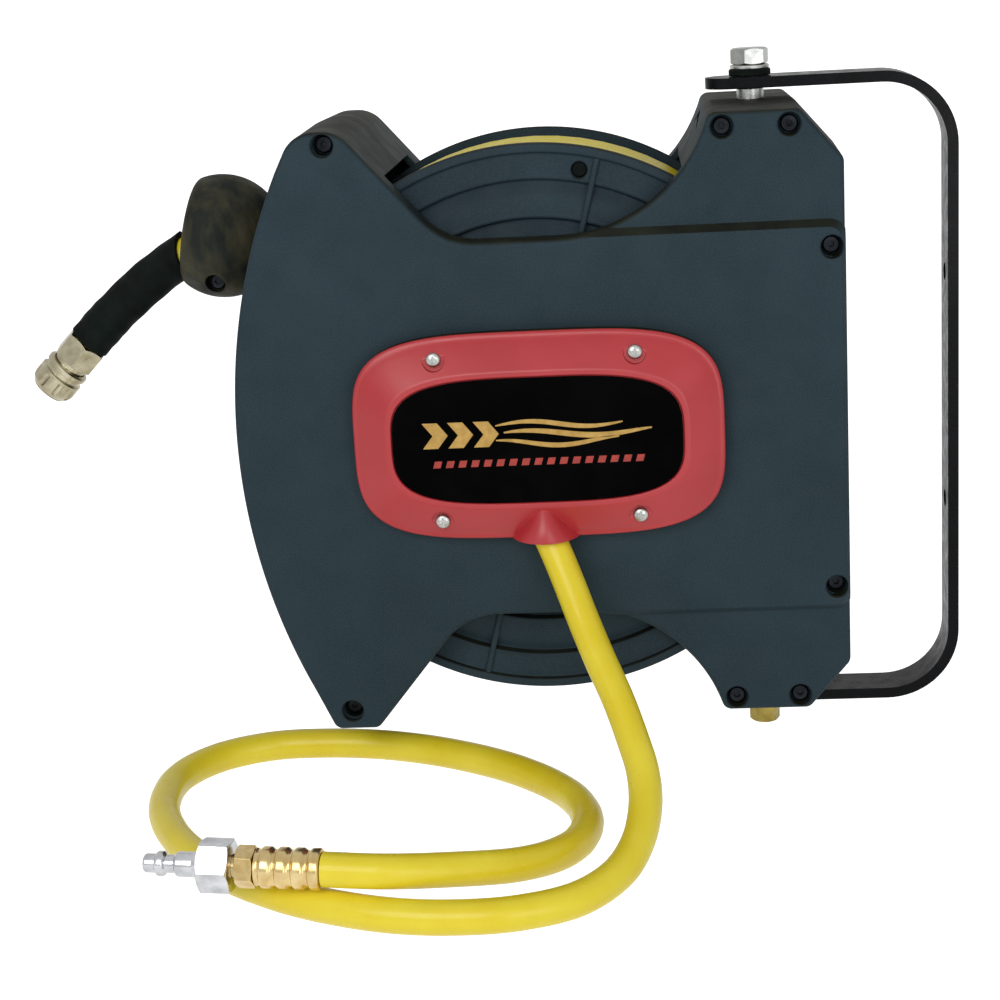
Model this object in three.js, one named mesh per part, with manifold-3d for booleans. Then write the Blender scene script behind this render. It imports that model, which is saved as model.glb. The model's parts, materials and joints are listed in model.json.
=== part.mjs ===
// Spring-rewind compressed-air hose reel on a swivelling wall bracket.
// Millimetres, +Z up. Inside the reel group the origin is on the drum's axis, in the plane of the raised
// front panel: +X points to the wall bracket and +Y runs back through the casing. The group is placed so
// that the part's own origin is the centre of the bracket's wall face.
import * as THREE from 'three';
import { mergeVertices } from 'three/addons/utils/BufferGeometryUtils.js';
import Module from 'manifold-3d';

const wasm = await Module();
wasm.setup();

const touch = 0.3; // gap kept between pieces that rest on each other
const running = 0.5; // radial clearance of a turning or sliding piece
const over = 1; // how far a cut runs past the face it opens

// hose
const hoseRadius = 8;
const layers = 3;
const layerPitch = 0.87; // a layer's rise over the one below, in hose diameters

// drum
const flangeRadius = 140;
const flangeLip = 3.2; // flange standing proud of the full winding
const flangeThick = 4;
const rimWidth = 5;
const rimProud = 2.5;
const grooveRadii = [101.5, 120.5];
const grooveWidth = 3;
const grooveDeep = 1.8;
const ribCount = 6;
const ribStart = 14.5; // degrees from the top towards the bracket
const ribThick = 3;
const peep = { out: 128.3, turn: 11.2, radius: 4 }; // hole in the front flange
const hubWall = 3;
const drumScrewRadius = 60;
const drumScrewCount = 2;
const ratchetTeeth = 12;
const toothHeight = 7;
const ratchetWidth = 7;
const springCaseWall = 3;
const springCaseDepth = 20;
const springTurns = 6;
const springThick = 1.2;

// casing
const casingDepth = 140;
const wall = 3;
const panelStep = 5; // raised panel above the corner blocks
const drumGap = 10.2; // between the flanges and the side walls
const capRise = 12.5; // casing's top above the flanges
const flangeToFront = 16; // front panel to the flange's rim
const clearRadius = 6; // room cut for the flanges where they leave the casing
const sideRadius = 340;
const notchHalf = 96; // half height of the waist
const notchLeft = -41.6;
const notchRadius = 35;
const blockArc = 76;
const blockWidth = 66; // bracket-side block along its top edge
const cornerCut = { x: 21.5, z: 25 };
const lobeWidth = 23.2;
const edgeRound = 2.6;
const draft = 1;
const panelMargin = 3.2; // raised panel short of the bracket-side edge
const screwRadius = 2;
const headRadius = 4.2;
const recessRadius = 5.5;
const recessDeep = 7;
const bossRadius = 7.5;

// badge cover
const badge = { a: 91.5, b: 52, power: 3.9, proud: 18, skin: 2.5, slope: 4 };
const label = { a: 71, b: 31, power: 3.5, thick: 1.6, sunk: 2.2 };
const badgeScrew = { x: 49, z: 40.7 };
const spout = { x: 1.5, half: 16, proud: 24, top: -30, skin: 2 };

// air path
const stemRadius = 7;
const elbowY = -7;
const barbRadius = 5.2;
const barbEnd = -45.5;
const swivelWall = 5;
const axleRadius = 9;
const bushWall = 2.5;

// pivot and bracket
const pivotInset = 42.2; // pivot axis in from the casing's bracket-side edge
const pivotRadius = 5;
const pivotBushWall = 1.8;
const armGap = { top: 5.5, bottom: 8.5 };
const barThick = 5.5;
const barWidth = 25;
const barReach = 102.4; // wall face beyond the pivot axis
const barTip = 22.5;
const bendRadius = 32;
const wallHole = { radius: 4.5, z: 60 };
const headSize = { flats: 17, high: 8 };
const nutSize = { flats: 14, high: 14 };

// outlet
const outletZ = 98.5; // hose centre where it leaves the casing
const stopRadius = 32;
const stopHalf = 21.5;
const stopTilt = 12; // degrees, lying against the curved side
const stopOut = 25; // stop's centre beyond the mouth
const stopSeam = 1.2;
const stopDrop = 3.5; // stop's centre below the mouth
const sleeveWall = 2.2;
const couplerFlats = 20.5;
const collarRadius = 12;
const collarStroke = 2.5;
const rollerRadius = 5;
const rollerLong = 34;
const rollerPin = 2;

// inlet plug
const ferrule = { radius: 9.5, long: 30, rings: 4 };
const tailHex = { flats: 17, long: 9 };
const plugHex = { flats: 22, long: 15 };
const nipple = { radius: 5.8, long: 26.5, bore: 1.9 };

// sizes that follow
const hoseWide = 2 * hoseRadius;
const midY = casingDepth / 2;
const windHeight = hoseWide * (1 + (layers - 1) * layerPitch);
const windRadius = flangeRadius - flangeLip;
const hubRadius = windRadius - windHeight;
const sideX = flangeRadius + drumGap + wall;
const topZ = flangeRadius + capRise;
const frontFlange = { y0: flangeToFront + rimProud, y1: flangeToFront + rimProud + flangeThick };
const coverThick = 2;
const rearGap = 3;
const caseEnd = casingDepth - wall - rearGap - coverThick;
const rearFlange = { y0: caseEnd - springCaseDepth - flangeThick, y1: caseEnd - springCaseDepth };
const pivotX = sideX - pivotInset;
const blockX = pivotX - blockWidth / 2 + 9;
const blockArcX = blockX - Math.sqrt(blockArc ** 2 - (notchHalf + blockArc - topZ) ** 2);
const armZ = { top: topZ + armGap.top, bottom: -topZ - armGap.bottom };
const wallX = pivotX + barReach;
const ratchetTip = notchHalf - wall - draft - 2;
const ratchetRoot = ratchetTip - toothHeight;
const caseRadius = ratchetRoot + 0.6;
const pawlRadius = ratchetTip + 14;

// looks
const looks = {
  casing: { color: 0x2b363d, roughness: 0.62, metalness: 0 },
  drum: { color: 0x333f47, roughness: 0.6, metalness: 0 },
  red: { color: 0xb5353b, roughness: 0.45, metalness: 0 },
  label: { color: 0x0b0b0c, roughness: 0.25, metalness: 0 },
  hose: { color: 0xdfcb38, roughness: 0.4, metalness: 0 },
  rubber: { color: 0x15191a, roughness: 0.85, metalness: 0 },
  paint: { color: 0x0d0f12, roughness: 0.25, metalness: 0 },
  zinc: { color: 0xb9bbb8, roughness: 0.35, metalness: 0.9 },
  yellowZinc: { color: 0xa8934a, roughness: 0.4, metalness: 0.8 },
  brass: { color: 0xc79a48, roughness: 0.3, metalness: 0.9 },
  nickel: { color: 0xb5ad93, roughness: 0.25, metalness: 0.95 },
  steel: { color: 0xc4c5c8, roughness: 0.28, metalness: 0.95 },
  springSteel: { color: 0x4a4c52, roughness: 0.4, metalness: 0.9 },
  acetal: { color: 0xd8d4c6, roughness: 0.5, metalness: 0 },
  guide: { color: 0x8d9296, roughness: 0.5, metalness: 0 },
};

const radians = THREE.MathUtils.degToRad;
const wallCentre = new THREE.Group();
const reel = new THREE.Group();
reel.position.set(-wallX, -midY, 0);
wallCentre.add(reel);

// Turns a closed three.js geometry into a solid that can be joined and cut.
function solid(geometry) {
  const bare = new THREE.BufferGeometry();
  bare.setAttribute('position', geometry.getAttribute('position').clone());
  if (geometry.index) bare.setIndex(geometry.index.clone());
  const merged = mergeVertices(bare, 1e-4);
  const at = merged.getAttribute('position');
  const corner = (i) => new THREE.Vector3().fromBufferAttribute(at, i);
  let faces = [];
  let volume = 0;
  for (let i = 0; i < merged.index.count; i += 3) {
    const [a, b, c] = [0, 1, 2].map((k) => merged.index.getX(i + k));
    if (a === b || b === c || c === a) continue;
    faces.push([a, b, c]);
    volume += corner(a).dot(corner(b).cross(corner(c)));
  }
  if (volume < 0) faces = faces.map(([a, b, c]) => [a, c, b]);
  const mesh = new wasm.Mesh({
    numProp: 3,
    vertProperties: new Float32Array(at.array),
    triVerts: new Uint32Array(faces.flat()),
  });
  return new wasm.Manifold(mesh);
}

function piece(name, body, look) {
  const mesh = body.getMesh();
  const geometry = new THREE.BufferGeometry();
  geometry.setAttribute('position', new THREE.BufferAttribute(new Float32Array(mesh.vertProperties), 3));
  geometry.setIndex(new THREE.BufferAttribute(new Uint32Array(mesh.triVerts), 1));
  geometry.computeVertexNormals();
  const node = new THREE.Mesh(geometry, new THREE.MeshStandardMaterial(looks[look]));
  node.name = name;
  reel.add(node);
}

// A stack of outlines with the same number of points, one above the other along Y.
function stack(levels) {
  const count = levels[0].points.length;
  const positions = [];
  for (const level of levels) {
    for (const p of level.points) positions.push(p.x, level.y, p.y);
  }
  const index = [];
  for (let k = 0; k < levels.length - 1; k++) {
    for (let i = 0; i < count; i++) {
      const j = (i + 1) % count;
      const [a, b, c, d] = [k * count + i, k * count + j, (k + 1) * count + i, (k + 1) * count + j];
      index.push(a, c, b, c, d, b);
    }
  }
  const last = (levels.length - 1) * count;
  for (const [a, b, c] of THREE.ShapeUtils.triangulateShape(levels[0].points, [])) index.push(a, b, c);
  for (const [a, b, c] of THREE.ShapeUtils.triangulateShape(levels[levels.length - 1].points, [])) {
    index.push(last + a, last + c, last + b);
  }
  const geometry = new THREE.BufferGeometry();
  geometry.setAttribute('position', new THREE.Float32BufferAttribute(positions, 3));
  geometry.setIndex(index);
  return solid(geometry);
}

const slab = (points, y0, y1) => stack([{ y: y0, points }, { y: y1, points }]);

// Rounds the corners [x, z, radius] of an outline.
function rounded(corners) {
  const points = [];
  corners.forEach(([x, z, radius], i) => {
    const here = new THREE.Vector2(x, z);
    if (!radius) {
      points.push(here);
      return;
    }
    const before = corners[(i + corners.length - 1) % corners.length];
    const after = corners[(i + 1) % corners.length];
    const u = new THREE.Vector2(before[0], before[1]).sub(here).normalize();
    const v = new THREE.Vector2(after[0], after[1]).sub(here).normalize();
    const half = Math.acos(THREE.MathUtils.clamp(u.dot(v), -1, 1)) / 2;
    const centre = u.clone().add(v).normalize().multiplyScalar(radius / Math.sin(half)).add(here);
    const start = u.multiplyScalar(radius / Math.tan(half)).add(here).sub(centre);
    const end = v.multiplyScalar(radius / Math.tan(half)).add(here).sub(centre);
    const sweep = Math.atan2(start.cross(end), start.dot(end));
    const steps = Math.max(2, Math.ceil(Math.abs(sweep) / radians(24)));
    for (let k = 0; k <= steps; k++) {
      points.push(start.clone().rotateAround(new THREE.Vector2(), (sweep * k) / steps).add(centre));
    }
  });
  return points;
}

// Moves a counter-clockwise outline inwards.
function inset(points, distance) {
  const inward = (a, b) => new THREE.Vector2(a.y - b.y, b.x - a.x).normalize();
  return points.map((p, i) => {
    const n1 = inward(points[(i + points.length - 1) % points.length], p);
    const n2 = inward(p, points[(i + 1) % points.length]);
    return n1.clone().add(n2).multiplyScalar(distance / (1 + n1.dot(n2))).add(p);
  });
}

// Superellipse.
function barrel(a, b, power, count = 36) {
  const round = (t, size) => Math.sign(t) * size * Math.abs(t) ** (2 / power);
  return Array.from({ length: count }, (_, i) => {
    const turn = (2 * Math.PI * (i + 0.5)) / count;
    return new THREE.Vector2(round(Math.cos(turn), a), round(Math.sin(turn), b));
  });
}

const circle = (x, z, radius, sides = 16) => Array.from({ length: sides }, (_, i) => {
  const turn = (2 * Math.PI * i) / sides;
  return new THREE.Vector2(x + radius * Math.cos(turn), z + radius * Math.sin(turn));
});

const rodY = (x, z, y0, y1, radius, sides = 16) => slab(circle(x, z, radius, sides), y0, y1);

// Cylinder or prism from a point along a direction.
function rod(from, heading, start, end, radius, sides = 16, endRadius = radius) {
  const geometry = new THREE.CylinderGeometry(endRadius, radius, end - start, sides);
  geometry.translate(0, (start + end) / 2, 0);
  const turn = new THREE.Quaternion().setFromUnitVectors(new THREE.Vector3(0, 1, 0), heading);
  return solid(geometry.applyQuaternion(turn).translate(from.x, from.y, from.z));
}

const hexRadius = (flats) => flats / Math.sqrt(3);
const up = new THREE.Vector3(0, 0, 1);
const down = new THREE.Vector3(0, 0, -1);
const back = new THREE.Vector3(0, 1, 0);
const at = (x, y, z) => new THREE.Vector3(x, y, z);
const middle = at(0, 0, 0);
const polar = (r, turn) => new THREE.Vector2(r * Math.cos(turn), r * Math.sin(turn));

// Solid of revolution of [radius, along] pairs, about an axis from a point along a direction.
function turned(profile, from, heading, sides = 20) {
  const closed = profile[0][0] > 0;
  const points = profile.map(([r, along]) => new THREE.Vector2(r, along));
  if (closed) points.push(points[0].clone());
  const geometry = new THREE.LatheGeometry(points, sides);
  const turn = new THREE.Quaternion().setFromUnitVectors(back, heading);
  return solid(geometry.applyQuaternion(turn).translate(from.x, from.y, from.z));
}

const ring = (from, heading, start, end, outer, inner, sides = 20) => turned(
  [[inner, start], [outer, start], [outer, end], [inner, end]], from, heading, sides);

function box(x0, x1, y0, y1, z0, z1) {
  const geometry = new THREE.BoxGeometry(x1 - x0, y1 - y0, z1 - z0);
  return solid(geometry.translate((x0 + x1) / 2, (y0 + y1) / 2, (z0 + z1) / 2));
}

// Tube along a curve, solid unless an inner radius is given.
function tube(path, steps, outer, sides = 10, inner = 0) {
  const section = new THREE.Shape(circle(0, 0, outer, sides));
  if (inner) section.holes.push(new THREE.Path(circle(0, 0, inner, sides).reverse()));
  return solid(new THREE.ExtrudeGeometry(section, { steps, extrudePath: path, bevelEnabled: false }));
}

// x of the curved side of the casing at height z
const curvedSide = (z) => sideRadius - sideX - Math.sqrt(sideRadius ** 2 - z ** 2);

function casingOutline() {
  const tip = curvedSide(topZ);
  const arcZ = notchHalf + blockArc;
  const first = Math.atan2(topZ - arcZ, blockX - blockArcX);
  const arc = [];
  for (let k = 1; k <= 7; k++) {
    const turn = first + ((-Math.PI / 2 - first) * k) / 7;
    arc.push([blockArcX + blockArc * Math.cos(turn), arcZ + blockArc * Math.sin(turn), 0]);
  }
  const half = (tipRound) => [
    [sideX, topZ - cornerCut.z, 7],
    [sideX - cornerCut.x, topZ, 6],
    [blockX, topZ, 6],
    ...arc,
    [notchLeft, notchHalf, notchRadius],
    [tip + lobeWidth, topZ, tipRound],
    [tip, topZ, tipRound],
  ];
  const side = [];
  for (let k = 1; k < 16; k++) {
    const z = topZ * (1 - k / 8);
    side.push([curvedSide(z), z, 0]);
  }
  const lower = half(6).map(([x, z, radius]) => [x, -z, radius]).reverse();
  return rounded([...half(19), ...side, ...lower]);
}
const outline = casingOutline();

// Raised panel: the waist and both lobes, bounded on the block side.
const panelRegion = rounded([
  [-2 * sideX, -2 * topZ, 0],
  [blockArcX, -2 * topZ, 0],
  [blockArcX, 1 - notchHalf, 0],
  [sideX - panelMargin, 1 - notchHalf, 6],
  [sideX - panelMargin, notchHalf - 1, 6],
  [blockArcX, notchHalf - 1, 0],
  [blockArcX, 2 * topZ, 0],
  [-2 * sideX, 2 * topZ, 0],
]);

const tipX = curvedSide(topZ);
const casingScrews = [
  [pivotX - 16.7, topZ - 8], [pivotX + 15.5, topZ - 8.2], [sideX - 7.7, notchHalf - 10.6],
  [tipX + 19, topZ - 7.5], [tipX + 13.4, -topZ + 8],
  [sideX - 7.7, 10.6 - notchHalf], [pivotX + 15.5, 8.2 - topZ], [pivotX - 16.7, 8 - topZ],
];
const partFront = midY - touch / 2;
const partRear = midY + touch / 2;
const mouthX = curvedSide(outletZ);
const mouth = at(mouthX, midY, outletZ);
const leftwards = at(-1, 0, 0);
const rollers = [hoseRadius + 12.4, -hoseRadius - 3.6].map((rise) => {
  const z = outletZ + rise;
  return { x: curvedSide(z) + wall + draft + rollerRadius + 2, z };
});
const pawlTurn = -50; // degrees round from +X
const pawlAt = { x: pawlRadius * Math.cos(radians(pawlTurn)), z: pawlRadius * Math.sin(radians(pawlTurn)) };
const pinY = { y0: midY - 22, y1: midY + 22 };

// Room for the turning drum, and the screw and pivot holes that both halves share.
function sharedCuts() {
  const cuts = [
    rodY(0, 0, frontFlange.y0 - rimProud - 2.5, rearFlange.y1 + 2.5, flangeRadius + clearRadius, 40),
    rod(mouth, leftwards, -14, 10, hoseRadius + 4.5, 16),
  ];
  for (const side of [1, -1]) {
    cuts.push(rod(at(pivotX, midY, 0), up.clone().multiplyScalar(side), topZ - 40, topZ + over,
      pivotRadius + pivotBushWall + touch, 16));
  }
  for (const { x, z } of rollers) {
    cuts.push(rodY(x, z, pinY.y0 - touch, pinY.y1 + touch, rollerPin + touch, 12));
  }
  return cuts;
}

const cutFrom = (body, cuts) => cuts.reduce((rest, cut) => rest.subtract(cut), body);
const joined = (bodies) => bodies.reduce((whole, next) => whole.add(next));

// Cheeks that hold the roller pins, and seats for the pivot nuts, on one side of the parting plane.
function innards(side) {
  const depth = (a, b) => (side < 0 ? [midY - b, midY - a] : [midY + a, midY + b]);
  const cheek = box(mouthX - 2, mouthX + 18, ...depth(19, 22), outletZ - 17, outletZ + 22);
  const seats = [1, -1].map((end) => {
    const [z0, z1] = end > 0 ? [topZ - 21, topZ - 1] : [1 - topZ, 21 - topZ];
    return box(pivotX - 13, pivotX + 13, ...depth(touch / 2, 12), z0, z1);
  });
  return [cheek, ...seats];
}

function frontShell() {
  const levels = [
    { y: panelStep, points: inset(outline, draft + edgeRound) },
    { y: panelStep + 0.7, points: inset(outline, draft + edgeRound * 0.35) },
    { y: panelStep + edgeRound, points: inset(outline, draft) },
    { y: partFront, points: outline },
  ];
  const panelLevels = [
    { y: 0, points: inset(outline, draft + edgeRound) },
    { y: 0.7, points: inset(outline, draft + edgeRound * 0.35) },
    { y: edgeRound, points: inset(outline, draft) },
    { y: panelStep + edgeRound, points: inset(outline, draft) },
  ];
  const region = stack([
    { y: -over, points: inset(panelRegion, 0.7) },
    { y: panelStep, points: inset(panelRegion, -3.4) },
    { y: panelStep + wall, points: inset(panelRegion, -3.4) },
  ]);
  const panel = stack(panelLevels).intersect(region);
  const hollow = slab(inset(outline, wall + draft), panelStep + wall, partFront + over);
  const panelHollow = slab(inset(panelRegion, wall + 1), wall, panelStep + wall + over)
    .intersect(slab(inset(outline, wall + draft), wall, panelStep + wall + over));
  const inside = slab(inset(outline, wall), panelStep + 1, partFront);
  const bosses = casingScrews.map(([x, z]) => (
    rodY(x, z, panelStep + 1, partFront, bossRadius, 12).intersect(inside)
  ));
  const hub = ring(middle, back, wall - 0.5, 11, stemRadius + 9, stemRadius + touch, 16);
  const cuts = sharedCuts();
  for (const [x, z] of casingScrews) {
    cuts.push(rodY(x, z, -over, panelStep + recessDeep, recessRadius, 12));
    cuts.push(rodY(x, z, panelStep, midY, screwRadius + touch, 8));
  }
  for (const x of [-badgeScrew.x, badgeScrew.x]) {
    for (const z of [-badgeScrew.z, badgeScrew.z]) cuts.push(rodY(x, z, -over, 9, 1.6 + touch, 10));
  }
  cuts.push(rodY(0, 0, -over, 12, stemRadius + touch, 16));
  const skins = joined([stack(levels), panel]).subtract(hollow).subtract(panelHollow);
  const body = joined([skins, ...bosses, hub, ...innards(-1).map((part) => part.intersect(inside))]);
  return cutFrom(body, cuts);
}

function rearShell() {
  const levels = [
    { y: partRear, points: outline },
    { y: casingDepth - edgeRound, points: inset(outline, draft) },
    { y: casingDepth - 0.7, points: inset(outline, draft + edgeRound * 0.35) },
    { y: casingDepth, points: inset(outline, draft + edgeRound) },
  ];
  const hollow = slab(inset(outline, wall + draft), partRear - over, casingDepth - wall);
  const inside = slab(inset(outline, wall), partRear, casingDepth - 1);
  const bosses = casingScrews.map(([x, z]) => (
    rodY(x, z, partRear, casingDepth - 1, bossRadius - 1, 12).intersect(inside)
  ));
  const pawlBoss = rodY(pawlAt.x, pawlAt.z, rearFlange.y1 + ratchetWidth + 5, casingDepth - 1, 7, 16);
  const cuts = sharedCuts();
  for (const [x, z] of casingScrews) cuts.push(rodY(x, z, midY, midY + 24, screwRadius + touch, 8));
  cuts.push(rodY(0, 0, 0, casingDepth + over, axleRadius + touch, 16));
  cuts.push(rodY(0, 0, casingDepth - 1.2, casingDepth + over, 24, 32));
  cuts.push(rodY(pawlAt.x, pawlAt.z, midY, casingDepth - wall, 3 + touch, 12));
  const skins = stack(levels).subtract(hollow);
  const body = joined([skins, ...bosses, pawlBoss, ...innards(1).map((part) => part.intersect(inside))]);
  return cutFrom(body, cuts);
}

piece('front_shell', frontShell(), 'casing');
piece('rear_shell', rearShell(), 'casing');

const screwSeat = panelStep + recessDeep;
casingScrews.forEach(([x, z], i) => {
  const shank = rodY(x, z, screwSeat - touch, midY + 22, screwRadius, 8);
  const head = rodY(x, z, screwSeat - touch - 3, screwSeat - touch, headRadius, 12);
  const socket = rodY(x, z, screwSeat - 6, screwSeat - touch - 1.2, 1.7, 6);
  piece(`casing_screw_${i + 1}`, head.add(shank).subtract(socket), 'zinc');
});

// inlet hose: down out of the spout, forward to the surface below, once round in a loose loop, and
// back over itself to the plug
const inletRoute = [
  [1.6, -9.9, -48.2], [3.2, -10.9, -51.8], [6, -13, -58], [11.6, -20, -71], [19, -31, -88.8],
  [26.8, -44, -105.2], [35.2, -58, -121.1], [41.8, -72, -136.4], [46, -84, -147.4], [47, -98, -157.8],
  [43.5, -116, -168.3], [34.8, -134, -175.6], [17.1, -154, -179], [-8.9, -167.5, -179], [-35.4, -171, -179],
  [-62.2, -168.6, -179], [-90.3, -159.6, -179], [-119.9, -144, -179], [-154, -116, -179], [-180, -82, -179],
  [-197, -40, -179], [-197.5, 0.5, -179], [-182, 27.5, -179], [-156, 42.5, -179], [-128, 45, -179],
  [-94, 40, -179], [-57, 25, -179], [-18.7, -2, -179], [8.4, -35.6, -179], [18, -66, -179],
  [15, -93, -178.2], [5, -114, -175.8], [-12, -132, -172.2], [-41.4, -148.5, -166.4], [-70, -156.8, -162.2],
  [-97, -157.4, -160.7],
].map(([x, y, z]) => at(x, y, z));
const inletCurve = new THREE.CatmullRomCurve3(inletRoute, false, 'centripetal');

function badgeCover() {
  const outer = (d) => inset(barrel(badge.a, badge.b, badge.power), d);
  const body = stack([
    { y: -badge.proud, points: outer(badge.slope + 1.6) },
    { y: -badge.proud + 0.5, points: outer(badge.slope + 0.5) },
    { y: -badge.proud + 1.8, points: outer(badge.slope) },
    { y: -touch, points: outer(0) },
  ]);
  const hollow = slab(outer(badge.slope + badge.skin), -badge.proud + badge.skin + label.sunk, 0);
  const window = slab(barrel(label.a + touch, label.b + touch, label.power), -badge.proud - over,
    -badge.proud + label.sunk);
  const posts = [];
  const cuts = [window, tube(new THREE.CatmullRomCurve3(inletRoute.slice(0, 5)), 8, hoseRadius + 1.4, 10)];
  for (const x of [-badgeScrew.x, badgeScrew.x]) {
    for (const z of [-badgeScrew.z, badgeScrew.z]) {
      posts.push(rodY(x, z, -badge.proud + 2, -touch, 4.5, 16));
      cuts.push(rodY(x, z, -badge.proud - over, -badge.proud + 1.4, 5.2, 16));
      cuts.push(rodY(x, z, -badge.proud, over, 1.6 + touch, 10));
    }
  }
  const hood = spoutHood(0);
  const throat = spoutHood(spout.skin);
  const shell = body.add(hood).subtract(hollow).subtract(throat);
  return cutFrom(joined([shell, ...posts]), cuts);
}

// Half cone that lets the hose out of the cover's lower edge.
function spoutHood(skin) {
  const rows = [
    [spout.top - skin, 7 - skin, badge.proud - 2 - skin],
    [-badge.b + 0.5 - (skin ? over : 0), spout.half - skin, spout.proud - skin],
  ];
  const positions = [];
  const sides = 16;
  for (const [z, half, proud] of rows) {
    for (let k = 0; k <= sides; k++) {
      const turn = Math.PI + (Math.PI * k) / sides;
      positions.push(spout.x + half * Math.cos(turn), -touch + (proud - touch) * Math.sin(turn), z);
    }
  }
  const count = sides + 1;
  const index = [];
  for (let k = 0; k < sides; k++) index.push(k, k + 1, count + k, k + 1, count + k + 1, count + k);
  index.push(sides, 0, count + sides, 0, count, count + sides);
  for (let k = 1; k < sides; k++) {
    index.push(0, k + 1, k);
    index.push(count, count + k, count + k + 1);
  }
  const geometry = new THREE.BufferGeometry();
  geometry.setAttribute('position', new THREE.Float32BufferAttribute(positions, 3));
  geometry.setIndex(index);
  return solid(geometry);
}

piece('badge_cover', badgeCover(), 'red');
const labelBack = -badge.proud + label.sunk - touch;
const labelShape = barrel(label.a, label.b, label.power);
piece('label_plate', slab(labelShape, labelBack - label.thick, labelBack), 'label');
let badgeScrewCount = 0;
for (const z of [badgeScrew.z, -badgeScrew.z]) {
  for (const x of [-badgeScrew.x, badgeScrew.x]) {
    badgeScrewCount += 1;
    const seat = -badge.proud + 1.4 - touch;
    const head = turned([
      [0, seat - 2.2], [1.8, seat - 2], [3.6, seat - 0.8], [3.6, seat], [1.6, seat], [1.6, 8], [0, 8],
    ], at(x, 0, z), back, 12);
    piece(`badge_screw_${badgeScrewCount}`, head, 'zinc');
  }
}

// air path: elbow, stem, rotary joint, drum nipple
const stemEnd = frontFlange.y1 + 30;
const elbow = joined([
  rodY(0, 0, elbowY - 6, stemEnd, stemRadius, 16),
  rodY(0, 0, elbowY - 6, -touch, stemRadius + 3, 16),
  rod(at(0, elbowY, 0), down, 0, -barbEnd, barbRadius, 16),
  rod(at(0, elbowY, 0), down, 26, 29, barbRadius + 0.7, 16),
]);
const airWay = joined([
  rodY(0, 0, elbowY, stemEnd + over, 3.5, 16),
  rod(at(0, elbowY, 0), down, -2, -barbEnd + over, 3.3, 16),
]);
const lockNutY = 11 + touch;
piece('inlet_elbow', elbow.subtract(airWay), 'brass');
piece('elbow_locknut', rod(middle, back, lockNutY, lockNutY + 4, hexRadius(24), 6)
  .subtract(rodY(0, 0, lockNutY - over, lockNutY + 6, stemRadius + touch, 16)), 'brass');

const swivelOuter = stemRadius + running + swivelWall;
const swivelY = { y0: frontFlange.y1 + touch, y1: stemEnd + 8 };
const nippleY = stemEnd - 12;
const grooveY = frontFlange.y1 + 6;
const swivelBody = turned([
  [0, stemEnd + 3], [stemRadius + running, stemEnd + 3], [stemRadius + running, swivelY.y0],
  [swivelOuter + 10, swivelY.y0], [swivelOuter + 10, swivelY.y0 + 4], [swivelOuter, swivelY.y0 + 4],
  [swivelOuter, swivelY.y1], [0, swivelY.y1],
], middle, back, 16);
const nippleEnd = hubRadius - 38;
const nippleRod = (radius, from, to) => rod(at(0, nippleY, 0), up, from, to, radius, 16);
piece('swivel_body', cutFrom(swivelBody, [
  nippleRod(barbRadius + touch, stemRadius + 2, swivelOuter + over),
  nippleRod(3.3, 0, stemRadius + 4),
  ring(middle, back, grooveY, grooveY + 3, stemRadius + running + 2, stemRadius, 16),
]), 'brass');
piece('swivel_oring', ring(middle, back, grooveY + touch, grooveY + 3 - touch,
  stemRadius + running + 1.6, stemRadius + 0.2, 16), 'rubber');
piece('drum_nipple', nippleRod(barbRadius, stemRadius + 2 + touch, nippleEnd)
  .add(nippleRod(hexRadius(16), swivelOuter + touch + 1, swivelOuter + 8))
  .subtract(nippleRod(3.3, 0, nippleEnd + over)), 'brass');
piece('hub_hose', rod(at(0, nippleY, 0), up, nippleEnd + touch, hubRadius - 1, hoseRadius, 12), 'hose');

// drum
const drumSplit = (frontFlange.y1 + rearFlange.y0) / 2;
const drumScrews = Array.from({ length: drumScrewCount }, (_, i) => {
  const turn = radians(30 + (360 * i) / drumScrewCount);
  return [drumScrewRadius * Math.cos(turn), drumScrewRadius * Math.sin(turn)];
});

function drumFront() {
  const boss = stemRadius + running;
  const rimFace = frontFlange.y0 - rimProud;
  const grooves = grooveRadii.flatMap((r) => [
    [r - grooveWidth / 2, frontFlange.y0],
    [r, frontFlange.y0 + grooveDeep],
    [r + grooveWidth / 2, frontFlange.y0],
  ]);
  const disc = turned([
    [boss, rimFace], [boss + 6, rimFace], [boss + 6, frontFlange.y0], ...grooves,
    [flangeRadius - rimWidth, frontFlange.y0], [flangeRadius - rimWidth + 0.8, rimFace],
    [flangeRadius - 1, rimFace], [flangeRadius, rimFace + 1],
    [flangeRadius, frontFlange.y1], [hubRadius, frontFlange.y1],
    [hubRadius, drumSplit - touch / 2], [hubRadius - hubWall, drumSplit - touch / 2],
    [hubRadius - hubWall, frontFlange.y1], [boss, frontFlange.y1],
  ], middle, back, 40);
  const ribs = Array.from({ length: ribCount }, (_, i) => {
    const bar = new THREE.BoxGeometry(ribThick, 2, flangeRadius - rimWidth - 40);
    bar.translate(0, frontFlange.y0 - 0.9, (flangeRadius - rimWidth + 41) / 2);
    return solid(bar.rotateY(radians(ribStart + (360 * i) / ribCount)));
  });
  const peepAt = polar(peep.out, radians(90 - peep.turn));
  const cuts = [
    rodY(peepAt.x, peepAt.y, frontFlange.y0 - over, frontFlange.y1 + over, peep.radius, 12),
    rod(at(0, nippleY, 0), up, hubRadius - hubWall - 8, hubRadius + over, hoseRadius + 1, 16),
  ];
  for (const [x, z] of drumScrews) {
    cuts.push(rodY(x, z, frontFlange.y0 - over, frontFlange.y1 + over, 1.8 + touch, 12));
  }
  return cutFrom(joined([disc, ...ribs]), cuts);
}

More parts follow.
